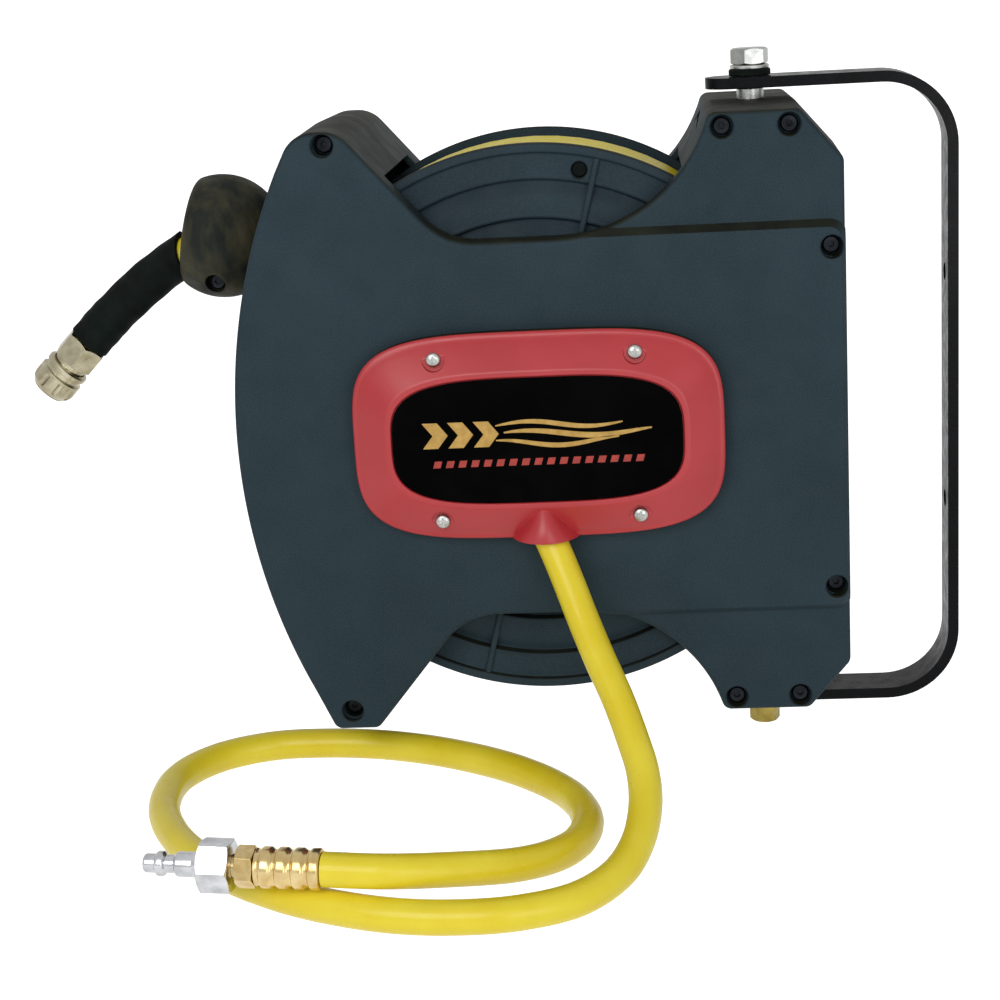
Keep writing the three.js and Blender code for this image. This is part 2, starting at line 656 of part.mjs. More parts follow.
function drumRear() {
  const bore = axleRadius + running + bushWall + touch;
  const disc = turned([
    [bore, rearFlange.y0 - 4], [bore + 5, rearFlange.y0 - 4], [bore + 5, rearFlange.y0],
    [hubRadius - hubWall, rearFlange.y0], [hubRadius - hubWall, drumSplit + touch / 2],
    [hubRadius, drumSplit + touch / 2], [hubRadius, rearFlange.y0],
    [flangeRadius, rearFlange.y0], [flangeRadius, rearFlange.y1],
    [caseRadius, rearFlange.y1], [caseRadius, caseEnd],
    [caseRadius - springCaseWall, caseEnd], [caseRadius - springCaseWall, rearFlange.y1],
    [bore, rearFlange.y1],
  ], middle, back, 40);
  const teeth = [];
  for (let k = 0; k < ratchetTeeth; k++) {
    const pitch = (2 * Math.PI) / ratchetTeeth;
    teeth.push(polar(ratchetRoot, k * pitch), polar(ratchetRoot, (k + 0.5) * pitch));
    teeth.push(polar(ratchetTip, (k + 0.94) * pitch), polar(ratchetRoot, (k + 0.98) * pitch));
  }
  const ratchet = slab(teeth, rearFlange.y1 - 0.5, rearFlange.y1 + ratchetWidth)
    .subtract(rodY(0, 0, rearFlange.y1 - over, rearFlange.y1 + ratchetWidth + over, caseRadius - 1, 40));
  const posts = drumScrews.map(([x, z]) => rodY(x, z, frontFlange.y1 + touch, rearFlange.y0 + 1, 6, 16));
  const cuts = drumScrews.map(([x, z]) => rodY(x, z, 0, frontFlange.y1 + 24, 1.8 + touch, 12));
  return cutFrom(joined([disc, ratchet, ...posts]), cuts);
}

piece('drum_front', drumFront(), 'drum');
piece('drum_rear', drumRear(), 'drum');
drumScrews.forEach(([x, z], i) => {
  const seat = frontFlange.y0 - touch;
  piece(`drum_screw_${i + 1}`, turned([[0, seat - 2.4], [3.6, seat - 2.4], [3.6, seat], [1.8, seat],
    [1.8, frontFlange.y1 + 20], [0, frontFlange.y1 + 20]], at(x, 0, z), back, 12), 'zinc');
});
piece('wound_hose', ring(middle, back, frontFlange.y1 + touch, rearFlange.y0 - touch, windRadius,
  hubRadius + touch, 40), 'hose');

// fixed axle, its bush and nut, spiral spring and the spring's cover
const axleY = { y0: swivelY.y1 + 6, y1: casingDepth - 1.2 - touch };
const axleHead = hexRadius(26);
piece('axle', rodY(0, 0, axleY.y0, casingDepth + 1, axleRadius, 16), 'steel');
piece('axle_nut', rod(middle, back, casingDepth - 1.2 + touch, casingDepth + 5, axleHead, 6)
  .subtract(rodY(0, 0, 0, casingDepth + 6, axleRadius + touch, 16)), 'zinc');
piece('rear_bush', ring(middle, back, rearFlange.y0 - 4, rearFlange.y1,
  axleRadius + running + bushWall, axleRadius + running, 16), 'acetal');

const springY = { y0: rearFlange.y1 + touch + 0.4, y1: caseEnd - touch - 0.4 };
const springRadii = { inner: axleRadius + 1.2, outer: caseRadius - springCaseWall - touch - springThick };
const spiral = (extra) => Array.from({ length: springTurns * 10 + 1 }, (_, i) => {
  const part = i / (springTurns * 10);
  const r = springRadii.inner + (springRadii.outer - springRadii.inner) * part + extra;
  return polar(r, part * springTurns * 2 * Math.PI);
});
const strip = [...spiral(springThick), ...spiral(0).reverse()];
piece('spiral_spring', slab(strip, springY.y0, springY.y1), 'springSteel');
piece('spring_cover', ring(middle, back, caseEnd + touch, caseEnd + coverThick, caseRadius,
  axleRadius + 4, 36), 'zinc');

// ratchet pawl on its pin
const pawlY = { y0: rearFlange.y1 + 1, y1: rearFlange.y1 + 1 + ratchetWidth - 1.5 };
const pawlPin = rodY(pawlAt.x, pawlAt.z, pawlY.y0, casingDepth - wall - touch, 3, 12);
const pawlRest = 48; // degrees the nose is swung away from the drum's centre when free
const pawlShape = rounded([
  [-5, -5.5, 3], [5, -5.5, 3], [5, 8, 3], [1.5, 18, 0.8], [-2.5, 18, 0.8], [-5, 8, 2],
].map(([x, z, r]) => {
  const spot = new THREE.Vector2(x, z).rotateAround(new THREE.Vector2(), radians(pawlTurn + 90 + pawlRest));
  return [pawlAt.x + spot.x, pawlAt.z + spot.y, r];
}));
piece('pawl', slab(pawlShape, pawlY.y0, pawlY.y1)
  .subtract(rodY(pawlAt.x, pawlAt.z, 0, casingDepth, 3 + touch, 12)), 'steel');
piece('pawl_pin', pawlPin, 'steel');
piece('pawl_spring', ring(at(pawlAt.x, 0, pawlAt.z), back, pawlY.y1 + touch + 0.3,
  rearFlange.y1 + ratchetWidth + 5 - touch, 5.5, 3 + 2 * touch, 16), 'springSteel');

// guide rollers at the mouth
rollers.forEach(({ x, z }, i) => {
  piece(`guide_roller_${i + 1}`, ring(at(x, 0, z), back, midY - rollerLong / 2, midY + rollerLong / 2,
    rollerRadius, rollerPin + touch, 16), 'guide');
  piece(`roller_pin_${i + 1}`, rodY(x, z, pinY.y0, pinY.y1, rollerPin, 12), 'steel');
});

// outlet hose from the drum's top through the mouth and the stop, drooping to the coupler
const stop = at(mouthX - stopOut, midY, outletZ - stopDrop);
const outletRoute = [
  [46, 0, 13.6], [23, 0, 6.7], [0, 0, 0], [-25, 0, -7.2], [-47, 0, -14.1], [-56, 0, -18.6],
  [-66, 0, -24.8], [-78, 0, -33.8], [-90, 0, -44.2], [-102, 0, -56.3],
].map(([x, y, z]) => at(mouthX + x, midY + y, outletZ + z));
const outletCurve = new THREE.CatmullRomCurve3(outletRoute, false, 'centripetal');
piece('outlet_hose', tube(outletCurve, 14, hoseRadius, 10), 'hose');

const stopFacing = at(-Math.cos(radians(stopTilt)), 0, Math.sin(radians(stopTilt)));

function stopHalfSolid(side) {
  const ball = new THREE.SphereGeometry(stopRadius, 20, 12).translate(stop.x, stop.y, stop.z);
  const barrelCut = rod(stop, stopFacing, -stopHalf, stopHalf, stopRadius + over, 16);
  const halfSpace = side < 0
    ? box(stop.x - 40, stop.x + 40, stop.y - 40, stop.y - stopSeam / 2, stop.z - 40, stop.z + 40)
    : box(stop.x - 40, stop.x + 40, stop.y + stopSeam / 2, stop.y + 40, stop.z - 40, stop.z + 40);
  const cuts = [tube(outletCurve, 14, hoseRadius + 0.7, 10)];
  for (const { x, z, from } of stopScrews) {
    const head = from === side ? stop.y + side * 13 : stop.y;
    cuts.push(rodY(x, z, stop.y - 40, stop.y + 40, 2 + touch, 12));
    if (from === side) {
      cuts.push(side < 0 ? rodY(x, z, stop.y - 40, head, 4.6, 16) : rodY(x, z, head, stop.y + 40, 4.6, 16));
    }
  }
  return cutFrom(solid(ball).intersect(barrelCut).intersect(halfSpace), cuts);
}
const stopScrews = [
  { x: stop.x - 4, z: stop.z - 21.5, from: -1 },
  { x: stop.x + 2, z: stop.z + 19, from: 1 },
];
piece('hose_stop_front', stopHalfSolid(-1), 'rubber');
piece('hose_stop_rear', stopHalfSolid(1), 'rubber');
stopScrews.forEach(({ x, z, from }, i) => {
  const heading = at(0, from, 0);
  piece(`stop_screw_${i + 1}`, rod(at(x, stop.y, z), heading, 13 + touch, 16, 4, 16)
    .add(rod(at(x, stop.y, z), heading, -14, 13 + 2 * touch, 2, 12)), 'zinc');
});

const sleeveCurve = new THREE.CatmullRomCurve3(outletRoute.slice(4), false, 'centripetal');
piece('bend_sleeve', tube(sleeveCurve, 7, hoseRadius + 1 + sleeveWall, 12, hoseRadius + 1)
  .subtract(rod(stop, stopFacing, -stopHalf, stopHalf + 0.4, stopRadius + 8, 16)), 'rubber');

// quick coupler on the outlet
const outletEnd = outletRoute[outletRoute.length - 1];
const outletHeading = outletCurve.getTangent(1);
const coupler = { hexLong: 14.5, neck: 9, end: 35.5, mouth: 6.2 };
const couplerBody = cutFrom(joined([
  rod(outletEnd, outletHeading, touch + 0.4, coupler.hexLong, hexRadius(couplerFlats), 6),
  rod(outletEnd, outletHeading, coupler.hexLong - 0.5, coupler.end, coupler.neck, 16),
]), [rod(outletEnd, outletHeading, coupler.end - 14, coupler.end + over, coupler.mouth, 16),
  rod(outletEnd, outletHeading, 0, coupler.end, 2, 10)]);
piece('coupler_body', couplerBody, 'nickel');
const collarStart = coupler.hexLong + collarStroke + touch;
const collarBore = coupler.neck + running;
const collarEnd = coupler.end - 0.4;
piece('coupler_collar', turned([
  [collarBore, collarStart], [collarRadius - 1.2, collarStart], [collarRadius - 0.4, collarStart + 0.8],
  [collarRadius - 0.4, collarStart + 3], [collarRadius - 1.3, collarStart + 3.4],
  [collarRadius - 1.3, collarStart + 5.8], [collarRadius, collarStart + 6.4],
  [collarRadius, collarEnd - 4.6], [collarRadius - 1.6, collarEnd - 1.1], [collarRadius - 3.6, collarEnd],
  [collarBore, collarEnd],
], outletEnd, outletHeading, 20), 'nickel');

piece('inlet_hose', tube(inletCurve, 42, hoseRadius, 8), 'hose');

const plugAt = inletRoute[inletRoute.length - 1];
const plugHeading = inletCurve.getTangent(1);
let reach = touch;
const crimp = [[barbRadius, reach]];
const ringPitch = ferrule.long / ferrule.rings;
for (let k = 0; k < ferrule.rings; k++) {
  const s = reach + k * ringPitch;
  crimp.push([ferrule.radius, s], [ferrule.radius, s + ringPitch * 0.62]);
  crimp.push([ferrule.radius - 1, s + ringPitch * 0.7], [ferrule.radius - 1, s + ringPitch * 0.92]);
}
crimp.push([ferrule.radius - 0.6, reach + ferrule.long], [barbRadius, reach + ferrule.long]);
piece('inlet_ferrule', turned(crimp, plugAt, plugHeading, 12), 'brass');
reach += ferrule.long;
piece('inlet_tail', joined([
  rod(plugAt, plugHeading, touch, reach + 1, barbRadius - touch, 16),
  rod(plugAt, plugHeading, reach + touch, reach + tailHex.long, hexRadius(tailHex.flats), 6),
  rod(plugAt, plugHeading, reach + tailHex.long - 0.5, reach + tailHex.long + 10, barbRadius, 16),
]), 'brass');
reach += tailHex.long + 2;
const shoulder = reach + plugHex.long;
const tipEnd = shoulder + nipple.long;
const plugBody = joined([
  rod(plugAt, plugHeading, reach, shoulder, hexRadius(plugHex.flats), 6),
  turned([
    [0, shoulder - 0.5], [nipple.radius + 1.4, shoulder - 0.5], [nipple.radius, shoulder + 3],
    [nipple.radius, shoulder + 11], [nipple.radius - 1.6, shoulder + 12],
    [nipple.radius - 1.6, shoulder + 16], [nipple.radius, shoulder + 17], [nipple.radius, shoulder + 20],
    [nipple.radius - 1.4, shoulder + 21],
    [nipple.radius - 1.4, tipEnd - 1], [nipple.radius - 2, tipEnd], [0, tipEnd],
  ], plugAt, plugHeading, 16),
]);
piece('inlet_plug', cutFrom(plugBody, [
  rod(plugAt, plugHeading, reach - over, reach + 9, barbRadius + touch, 16),
  rod(plugAt, plugHeading, reach, reach + 80, nipple.bore, 10),
]), 'steel');

// pivots: bolt, washers, bush and captive nut at the top; the lower one has no rubber washer
function pivot(side) {
  const heading = side > 0 ? up : down;
  const base = at(pivotX, midY, 0);
  const armFace = side > 0 ? armZ.top : -armZ.bottom;
  const name = side > 0 ? 'upper' : 'lower';
  const nutIn = topZ - 21 - touch;
  const nut = rod(base, heading, nutIn - 9, nutIn, hexRadius(18), 6)
    .subtract(rod(base, heading, 0, topZ, pivotRadius + touch, 16));
  piece(`${name}_pivot_nut`, nut, 'zinc');
  piece(`${name}_pivot_bush`, ring(base, heading, topZ - 15.5 + touch, armFace - touch,
    pivotRadius + pivotBushWall, pivotRadius + touch, 16), 'zinc');
  let level = armFace + barThick + touch;
  if (side > 0) {
    piece('rubber_washer', ring(base, heading, level, level + 3.2, 10.5, pivotRadius + touch, 16), 'rubber');
    level += 3.2 + touch;
    piece('upper_washer', ring(base, heading, level, level + 1.8, 9.8, pivotRadius + touch, 16), 'zinc');
    level += 1.8 + touch;
  }
  const size = side > 0 ? headSize : nutSize;
  const head = rod(base, heading, level, level + size.high, hexRadius(size.flats), 6);
  const crown = rod(base, heading, level, level + size.high, hexRadius(size.flats) * 1.12, 24,
    size.flats * 0.47);
  const shank = rod(base, heading, nutIn - 14, level + 1, pivotRadius, 16);
  piece(`${name}_pivot_bolt`, head.intersect(crown).add(shank), side > 0 ? 'zinc' : 'yellowZinc');
}
pivot(1);
pivot(-1);

// wall bracket: a flat bar bent to a U, arm ends rounded, two holes for wall screws
function bracket() {
  const zTop = armZ.top + barThick;
  const zLow = armZ.bottom - barThick;
  const tip = pivotX - barTip;
  const around = rounded([
    [tip, zLow, 0], [wallX, zLow, bendRadius + barThick], [wallX, zTop, bendRadius + barThick],
    [tip, zTop, 0], [tip, armZ.top, 0], [wallX - barThick, armZ.top, bendRadius],
    [wallX - barThick, armZ.bottom, bendRadius], [tip, armZ.bottom, 0],
  ]);
  const bar = slab(around, midY - barWidth / 2, midY + barWidth / 2);
  const tipCentre = tip + barWidth / 2;
  const halfWide = barWidth / 2 + over;
  const plan = joined([
    rod(at(tipCentre, midY, 0), up, zLow - over, zTop + over, barWidth / 2, 32),
    box(tipCentre, wallX + over, midY - halfWide, midY + halfWide, zLow - over, zTop + over),
  ]);
  const cuts = [rod(at(pivotX, midY, 0), up, zLow - over, zTop + over, pivotRadius + running, 16)];
  for (const z of [wallHole.z, -wallHole.z]) {
    cuts.push(rod(at(wallX, midY, z), leftwards, -over, barThick + over, wallHole.radius, 16));
  }
  return cutFrom(bar.intersect(plan), cuts);
}
piece('bracket', bracket(), 'paint');

export default wallCentre;
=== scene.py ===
# Spring-rewind air hose reel on a swivelling wall bracket.
# Lengths in the dictionaries are millimetres from the drum's axis in the plane of the raised front panel:
# x towards the wall, y back through the casing, z up. spot() turns them into metres in the row frame.
import json
import math

import bmesh
import bpy
from mathutils import Matrix, Quaternion, Vector


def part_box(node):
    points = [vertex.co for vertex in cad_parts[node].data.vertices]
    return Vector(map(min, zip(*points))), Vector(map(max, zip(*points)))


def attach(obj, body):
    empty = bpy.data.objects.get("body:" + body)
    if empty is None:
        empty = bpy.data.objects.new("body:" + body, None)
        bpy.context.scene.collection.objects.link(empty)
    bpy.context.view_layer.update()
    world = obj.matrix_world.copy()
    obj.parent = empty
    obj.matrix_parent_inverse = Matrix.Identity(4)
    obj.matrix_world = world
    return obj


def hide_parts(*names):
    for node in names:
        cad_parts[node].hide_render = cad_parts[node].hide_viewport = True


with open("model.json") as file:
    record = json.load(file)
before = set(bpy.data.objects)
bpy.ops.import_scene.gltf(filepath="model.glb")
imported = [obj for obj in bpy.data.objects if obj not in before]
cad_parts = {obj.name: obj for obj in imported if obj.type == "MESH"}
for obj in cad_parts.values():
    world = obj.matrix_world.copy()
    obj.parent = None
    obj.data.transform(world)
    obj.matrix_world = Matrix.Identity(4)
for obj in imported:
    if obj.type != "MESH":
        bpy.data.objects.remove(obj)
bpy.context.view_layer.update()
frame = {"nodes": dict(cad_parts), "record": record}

drumLow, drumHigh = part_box("drum_rear")
reelCentre = Vector(((drumLow.x + drumHigh.x) / 2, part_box("front_shell")[0].y, (drumLow.z + drumHigh.z) / 2))
midY = 70
upward = Vector((0, 0, 1))
downward = Vector((0, 0, -1))
backward = Vector((0, 1, 0))
roomward = Vector((-1, 0, 0))
print("frame loaded")


def spot(x, y, z):
    return Vector((x, y, z)) * 0.001 + reelCentre


view = {
    "lens": 76.44,
    "stands": (62.5, -1025, 234.7),
    "right": (0.99626, 0.06720, -0.05426),
    "down": (-0.03530, -0.25655, -0.96589),
    "ahead": (-0.07883, 0.96419, -0.25321),
}
cameraData = bpy.data.cameras.new("camera")
cameraData.lens = view["lens"]
cameraData.sensor_width = 36
camera = bpy.data.objects.new("camera", cameraData)
bpy.context.scene.collection.objects.link(camera)
axes = Matrix([view["right"], [-v for v in view["down"]], [-v for v in view["ahead"]]]).transposed()
camera.matrix_world = Matrix.Translation(spot(*view["stands"])) @ axes.to_4x4()
bpy.context.scene.camera = camera


def linear(hexColour):
    parts = [int(hexColour[i:i + 2], 16) / 255 for i in (1, 3, 5)]
    return (*[p / 12.92 if p <= 0.04045 else ((p + 0.055) / 1.055) ** 2.4 for p in parts], 1)


def addNode(tree, kind, inputs=None, **settings):
    made = tree.nodes.new("ShaderNode" + kind)
    for name, value in settings.items():
        setattr(made, name, value)
    for name, value in (inputs or {}).items():
        if isinstance(value, bpy.types.NodeSocket):
            tree.links.new(value, made.inputs[name])
        else:
            made.inputs[name].default_value = value
    return made


# A noise between two sRGB colours; low and high narrow the noise's own range.
def mottle(tree, where, scale, dark, light, low=0.35, high=0.65, detail=4):
    noise = addNode(tree, "TexNoise", {"Vector": where, "Scale": scale, "Detail": detail})
    ramp = addNode(tree, "ValToRGB", {"Fac": noise.outputs["Fac"]})
    ramp.color_ramp.elements[0].position = low
    ramp.color_ramp.elements[0].color = linear(dark)
    ramp.color_ramp.elements[1].position = high
    ramp.color_ramp.elements[1].color = linear(light)
    return ramp.outputs["Color"]


# Starts a material: its tree, its shader and the place in metres.
def startMaterial(name, **shaderValues):
    made = bpy.data.materials.new(name)
    made.use_nodes = True
    tree = made.node_tree
    shader = tree.nodes["Principled BSDF"]
    for key, value in shaderValues.items():
        shader.inputs[key.replace("_", " ")].default_value = value
    where = addNode(tree, "TexCoord").outputs["Object"]
    return made, tree, shader, where


def linkShader(tree, shader, **sockets):
    for key, socket in sockets.items():
        tree.links.new(socket, shader.inputs[key.replace("_", " ")])


# Roughness that wanders between two values.
def wander(tree, where, scale, low, high):
    noise = addNode(tree, "TexNoise", {"Vector": where, "Scale": scale, "Detail": 3})
    spread = addNode(tree, "MapRange", {"Value": noise.outputs["Fac"], "From Min": 0.3, "From Max": 0.7,
                                        "To Min": low, "To Max": high})
    return spread.outputs["Result"]


def bumps(tree, where, scale, distance, strength, edge=0.0, detail=2):
    noise = addNode(tree, "TexNoise", {"Vector": where, "Scale": scale, "Detail": detail})
    bump = addNode(tree, "Bump", {"Height": noise.outputs["Fac"], "Distance": distance, "Strength": strength})
    if edge:
        soft = addNode(tree, "Bevel", {"Radius": edge}, samples=6)
        tree.links.new(soft.outputs["Normal"], bump.inputs["Normal"])
    return bump.outputs["Normal"]


# Injection-moulded polypropylene with a spark-eroded grain: matt and dark, and where it faces up a darker
# dusty olive, partly dust and partly painted shade.
# The real grain is 0.15 mm; it is drawn at 0.7 mm so that it shows.
def mouldedPlastic(name, dark, light, dustAndShadeTone, grainScale):
    made, tree, shader, where = startMaterial(name, Roughness=0.62, IOR=1.49, Specular_IOR_Level=0.2)
    base = mottle(tree, where, 22, dark, light, 0.3, 0.7)
    grain = mottle(tree, where, grainScale, "#121e22", "#36494f", 0.25, 0.75, 2)
    speckled = addNode(tree, "Mix", {"Factor": 0.4, "A": base, "B": grain}, data_type="RGBA")
    # Faces turned up mix into a dark olive mottle: partly dust, partly painted shade from the dim light above.
    facing = addNode(tree, "SeparateXYZ", {"Vector": addNode(tree, "NewGeometry").outputs["Normal"]})
    upwards = addNode(tree, "MapRange", {"Value": facing.outputs["Z"], "From Min": 0.25, "From Max": 0.85})
    dustAndPaintedShade = mottle(tree, where, 55, "#0c0f09", dustAndShadeTone, 0.35, 0.8)
    layers = {"Factor": upwards.outputs["Result"], "A": speckled.outputs["Result"], "B": dustAndPaintedShade}
    colour = addNode(tree, "Mix", layers, data_type="RGBA")
    linkShader(tree, shader, Base_Color=colour.outputs["Result"],
               Roughness=wander(tree, where, 60, 0.56, 0.7),
               Normal=bumps(tree, where, grainScale, 0.00025, 0.3, edge=0.0008))
    return made


# Satin moulded ABS: even red, paler where light rakes the rounded edges.
def satinAbs():
    made, tree, shader, where = startMaterial("satinMouldedAbs", Roughness=0.38, IOR=1.53, Coat_Weight=0.12,
                                              Coat_Roughness=0.25)
    base = mottle(tree, where, 30, "#b32a30", "#bd3238", 0.3, 0.7)
    linkShader(tree, shader, Base_Color=base, Roughness=wander(tree, where, 120, 0.34, 0.44),
               Normal=bumps(tree, where, 2200, 0.0001, 0.25, edge=0.0005))
    return made


# Cast acrylic sheet, back-painted black: smooth and deep black, with hardly a reflection.
def acrylicSheet():
    made, tree, shader, where = startMaterial("backPaintedAcrylic", Roughness=0.15, IOR=1.49,
                                              Specular_IOR_Level=0.015)
    linkShader(tree, shader, Base_Color=mottle(tree, where, 40, "#020203", "#060607"),
               Normal=bumps(tree, where, 90, 0.00005, 0.15))
    return made


# Extruded plasticised PVC: deep yellow, a soft shine along its length and slight waves from coiling.
def extrudedPvc():
    made, tree, shader, where = startMaterial("extrudedPvc", Roughness=0.3, IOR=1.53, Specular_IOR_Level=0.3,
                                              Coat_Weight=0.15, Coat_Roughness=0.14, Subsurface_Weight=0.12,
                                              Subsurface_Radius=(0.004, 0.003, 0.0006), Subsurface_Scale=0.5)
    base = mottle(tree, where, 28, "#ecd422", "#f6e440", 0.3, 0.7)
    linkShader(tree, shader, Base_Color=base, Roughness=wander(tree, where, 70, 0.24, 0.38),
               Normal=bumps(tree, where, 160, 0.0006, 0.07))
    return made


# Vulcanised rubber: nearly black with a brownish bloom in upright streaks and a dull sheen.
def vulcanisedRubber():
    made, tree, shader, where = startMaterial("vulcanisedRubber", Roughness=0.7, IOR=1.52,
                                              Specular_IOR_Level=0.2)
    streaks = addNode(tree, "Mapping", {"Vector": where, "Scale": (1, 1, 0.35)})
    base = mottle(tree, streaks.outputs["Vector"], 95, "#151b17", "#4a4632", 0.4, 0.74)
    linkShader(tree, shader, Base_Color=base, Roughness=wander(tree, where, 80, 0.48, 0.75),
               Normal=bumps(tree, where, 420, 0.0006, 0.3, edge=0.0008))
    return made


# Extruded rubber sleeve: plain black green, matt.
def sleeveRubber():
    made, tree, shader, where = startMaterial("extrudedRubber", Roughness=0.75, IOR=1.52,
                                              Specular_IOR_Level=0.1)
    linkShader(tree, shader, Base_Color=mottle(tree, where, 70, "#060c0a", "#0f1814"),
               Roughness=wander(tree, where, 100, 0.6, 0.85), Normal=bumps(tree, where, 500, 0.0005, 0.3))
    return made


# Stoved enamel over steel: deep black with orange peel 2 mm across, which breaks up its faint sheen.
def stovedEnamel():
    made, tree, shader, where = startMaterial("stovedEnamel", Roughness=0.3, IOR=1.5, Coat_Weight=0.06,
                                              Coat_Roughness=0.1, Specular_IOR_Level=0.08)
    linkShader(tree, shader, Base_Color=mottle(tree, where, 60, "#030405", "#0a0c10"),
               Roughness=wander(tree, where, 150, 0.2, 0.4),
               Normal=bumps(tree, where, 420, 0.0004, 0.3, edge=0.0006))
    return made


# Turned or pressed metal: metallic with faint turning marks and uneven polish.
def metal(name, dark, light, rough, scratch=900):
    made, tree, shader, where = startMaterial(name, Roughness=rough, Metallic=1.0)
    linkShader(tree, shader, Base_Color=mottle(tree, where, 120, dark, light, 0.3, 0.7),
               Roughness=wander(tree, where, 260, rough * 0.75, rough * 1.35),
               Normal=bumps(tree, where, scratch, 0.0001, 0.25, edge=0.0003))
    return made


# Cast acetal: milky white, waxy.
def waxyPlastic(name, dark, light):
    made, tree, shader, where = startMaterial(name, Roughness=0.42, IOR=1.48, Subsurface_Weight=0.1,
                                              Subsurface_Radius=(0.002, 0.002, 0.0015), Subsurface_Scale=0.5)
    linkShader(tree, shader, Base_Color=mottle(tree, where, 90, dark, light),
               Normal=bumps(tree, where, 700, 0.0001, 0.2))
    return made


# Coloured screen ink on the label.
def screenInk(name, dark, light):
    made, tree, shader, where = startMaterial(name, Roughness=0.4, IOR=1.5)
    linkShader(tree, shader, Base_Color=mottle(tree, where, 200, dark, light),
               Normal=bumps(tree, where, 900, 0.00005, 0.1))
    return made


finish = {
    # The third colour is the dark olive of upward faces: partly dust, partly painted shade.
    "casing": mouldedPlastic("sparkErodedPolypropylene", "#1e2f38", "#283a44", "#2c2f20", 1400),
    "drum": mouldedPlastic("fineGrainPolypropylene", "#1c2b34", "#293a45", "#252b22", 1700),
    "red cover": satinAbs(),
    "label": acrylicSheet(),
    "hose": extrudedPvc(),
    "rubber": vulcanisedRubber(),
    "sleeve": sleeveRubber(),
    "bracket paint": stovedEnamel(),
    "zinc": metal("brightZincPlate", "#a7a9a6", "#cfd0cc", 0.3),
    "yellow zinc": metal("yellowPassivatedZinc", "#8f7c3a", "#b9a55a", 0.36),
    "brass": metal("turnedBrass", "#c9a868", "#ecd6a0", 0.22),
    "nickel": metal("nickelPlate", "#a39a7f", "#cfc8ae", 0.22),
    # Zinc screws deep in recesses are drawn near black: painted shade.
    "zinc in painted shade": metal("zincScrewInPaintedShade", "#191b1e", "#2b2e33", 0.34),
    "steel": metal("polishedSteel", "#b9bbc0", "#e2e3e6", 0.18),
    "spring steel": metal("temperedSpringSteel", "#3c3f45", "#5c6068", 0.38),
    "acetal": waxyPlastic("naturalAcetal", "#d5d0c0", "#e6e2d6"),
    "roller": waxyPlastic("greyNylon", "#82878b", "#999ea2"),
    "gold ink": screenInk("goldInk", "#b08a3c", "#cda455"),
    "red ink": screenInk("redInk", "#9c2e26", "#b63a30"),
}
slotOf = {row["node"]: row["material_slot"] for row in frame["record"]["subparts"]}
for nodeName, cadNode in frame["nodes"].items():
    cadNode.data.materials.clear()
    cadNode.data.materials.append(finish[slotOf[nodeName]])
print("materials ready")


# Makes an object from points in millimetres, with doubled points joined and faces turned outwards.
def makeMesh(name, points, faces):
    mesh = bpy.data.meshes.new(name)
    mesh.from_pydata([spot(*p) for p in points], [], faces)
    tidy = bmesh.new()
    tidy.from_mesh(mesh)
    bmesh.ops.remove_doubles(tidy, verts=tidy.verts, dist=1e-7)
    bmesh.ops.recalc_face_normals(tidy, faces=tidy.faces)
    tidy.to_mesh(mesh)
    tidy.free()
    made = bpy.data.objects.new(name, mesh)
    bpy.context.scene.collection.objects.link(made)
    return made


# Joins rings of equal length, closing the ends with flat faces.
def loft(name, rings, capped=True):
    count = len(rings[0])
    points = [p for ring in rings for p in ring]
    faces = []
    for k in range(len(rings) - 1):
        for i in range(count):
            j = (i + 1) % count
            faces.append((k * count + i, k * count + j, (k + 1) * count + j, (k + 1) * count + i))
    if capped:
        faces.append(tuple(range(count)))
        faces.append(tuple((len(rings) - 1) * count + i for i in reversed(range(count))))
    return makeMesh(name, points, faces)


# Joins (depth, outline) levels, one behind the other.
def stack(name, levels):
    return loft(name, [[(x, y, z) for x, z in outline] for y, outline in levels])


def block(name, x0, x1, y0, y1, z0, z1):
    return stack(name, [(y, [(x0, z0), (x1, z0), (x1, z1), (x0, z1)]) for y in (y0, y1)])


# Turns [radius, along] pairs about an axis; a profile that starts off the axis closes on itself.
def lathe(name, profile, start, heading, sides=64):
    rotation = upward.rotation_difference(heading)
    closed = profile[0][0] > 1e-6
    rings = profile + [profile[0]] if closed else profile
    points = []
    faces = []
    for radius, along in rings:
        for i in range(sides):
            angle = 2 * math.pi * i / sides
            offset = Vector((radius * math.cos(angle), radius * math.sin(angle), along))
            points.append(Vector(start) + rotation @ offset)
    for k in range(len(rings) - 1):
        for i in range(sides):
            j = (i + 1) % sides
            faces.append((k * sides + i, k * sides + j, (k + 1) * sides + j, (k + 1) * sides + i))
    return makeMesh(name, points, faces)


def rod(name, start, heading, low, high, radius, sides=48):
    return lathe(name, [(0, low), (radius, low), (radius, high), (0, high)], start, heading, sides)


# Unions, cuts or intersects with throwaway solids, then keeps the result.
def combine(target, tools, how="DIFFERENCE"):
    for tool in tools:
        change = target.modifiers.new("combine", "BOOLEAN")
        change.operation = how
        change.object = tool
        change.solver = "MANIFOLD"
    keep(target)
    for tool in tools:
        bpy.data.meshes.remove(tool.data)
    return target


# Applies the modifiers.
def keep(target):
    depsgraph = bpy.context.evaluated_depsgraph_get()
    depsgraph.update()
    mesh = bpy.data.meshes.new_from_object(target.evaluated_get(depsgraph))
    target.modifiers.clear()
    target.data = mesh
    return target


# Rounds every edge sharper than 35 degrees.
def soften(target, width, segments=2):
    change = target.modifiers.new("soften", "BEVEL")
    change.width = width * 0.001
    change.segments = segments
    change.limit_method = "ANGLE"
    change.angle_limit = math.radians(35)
    return keep(target)


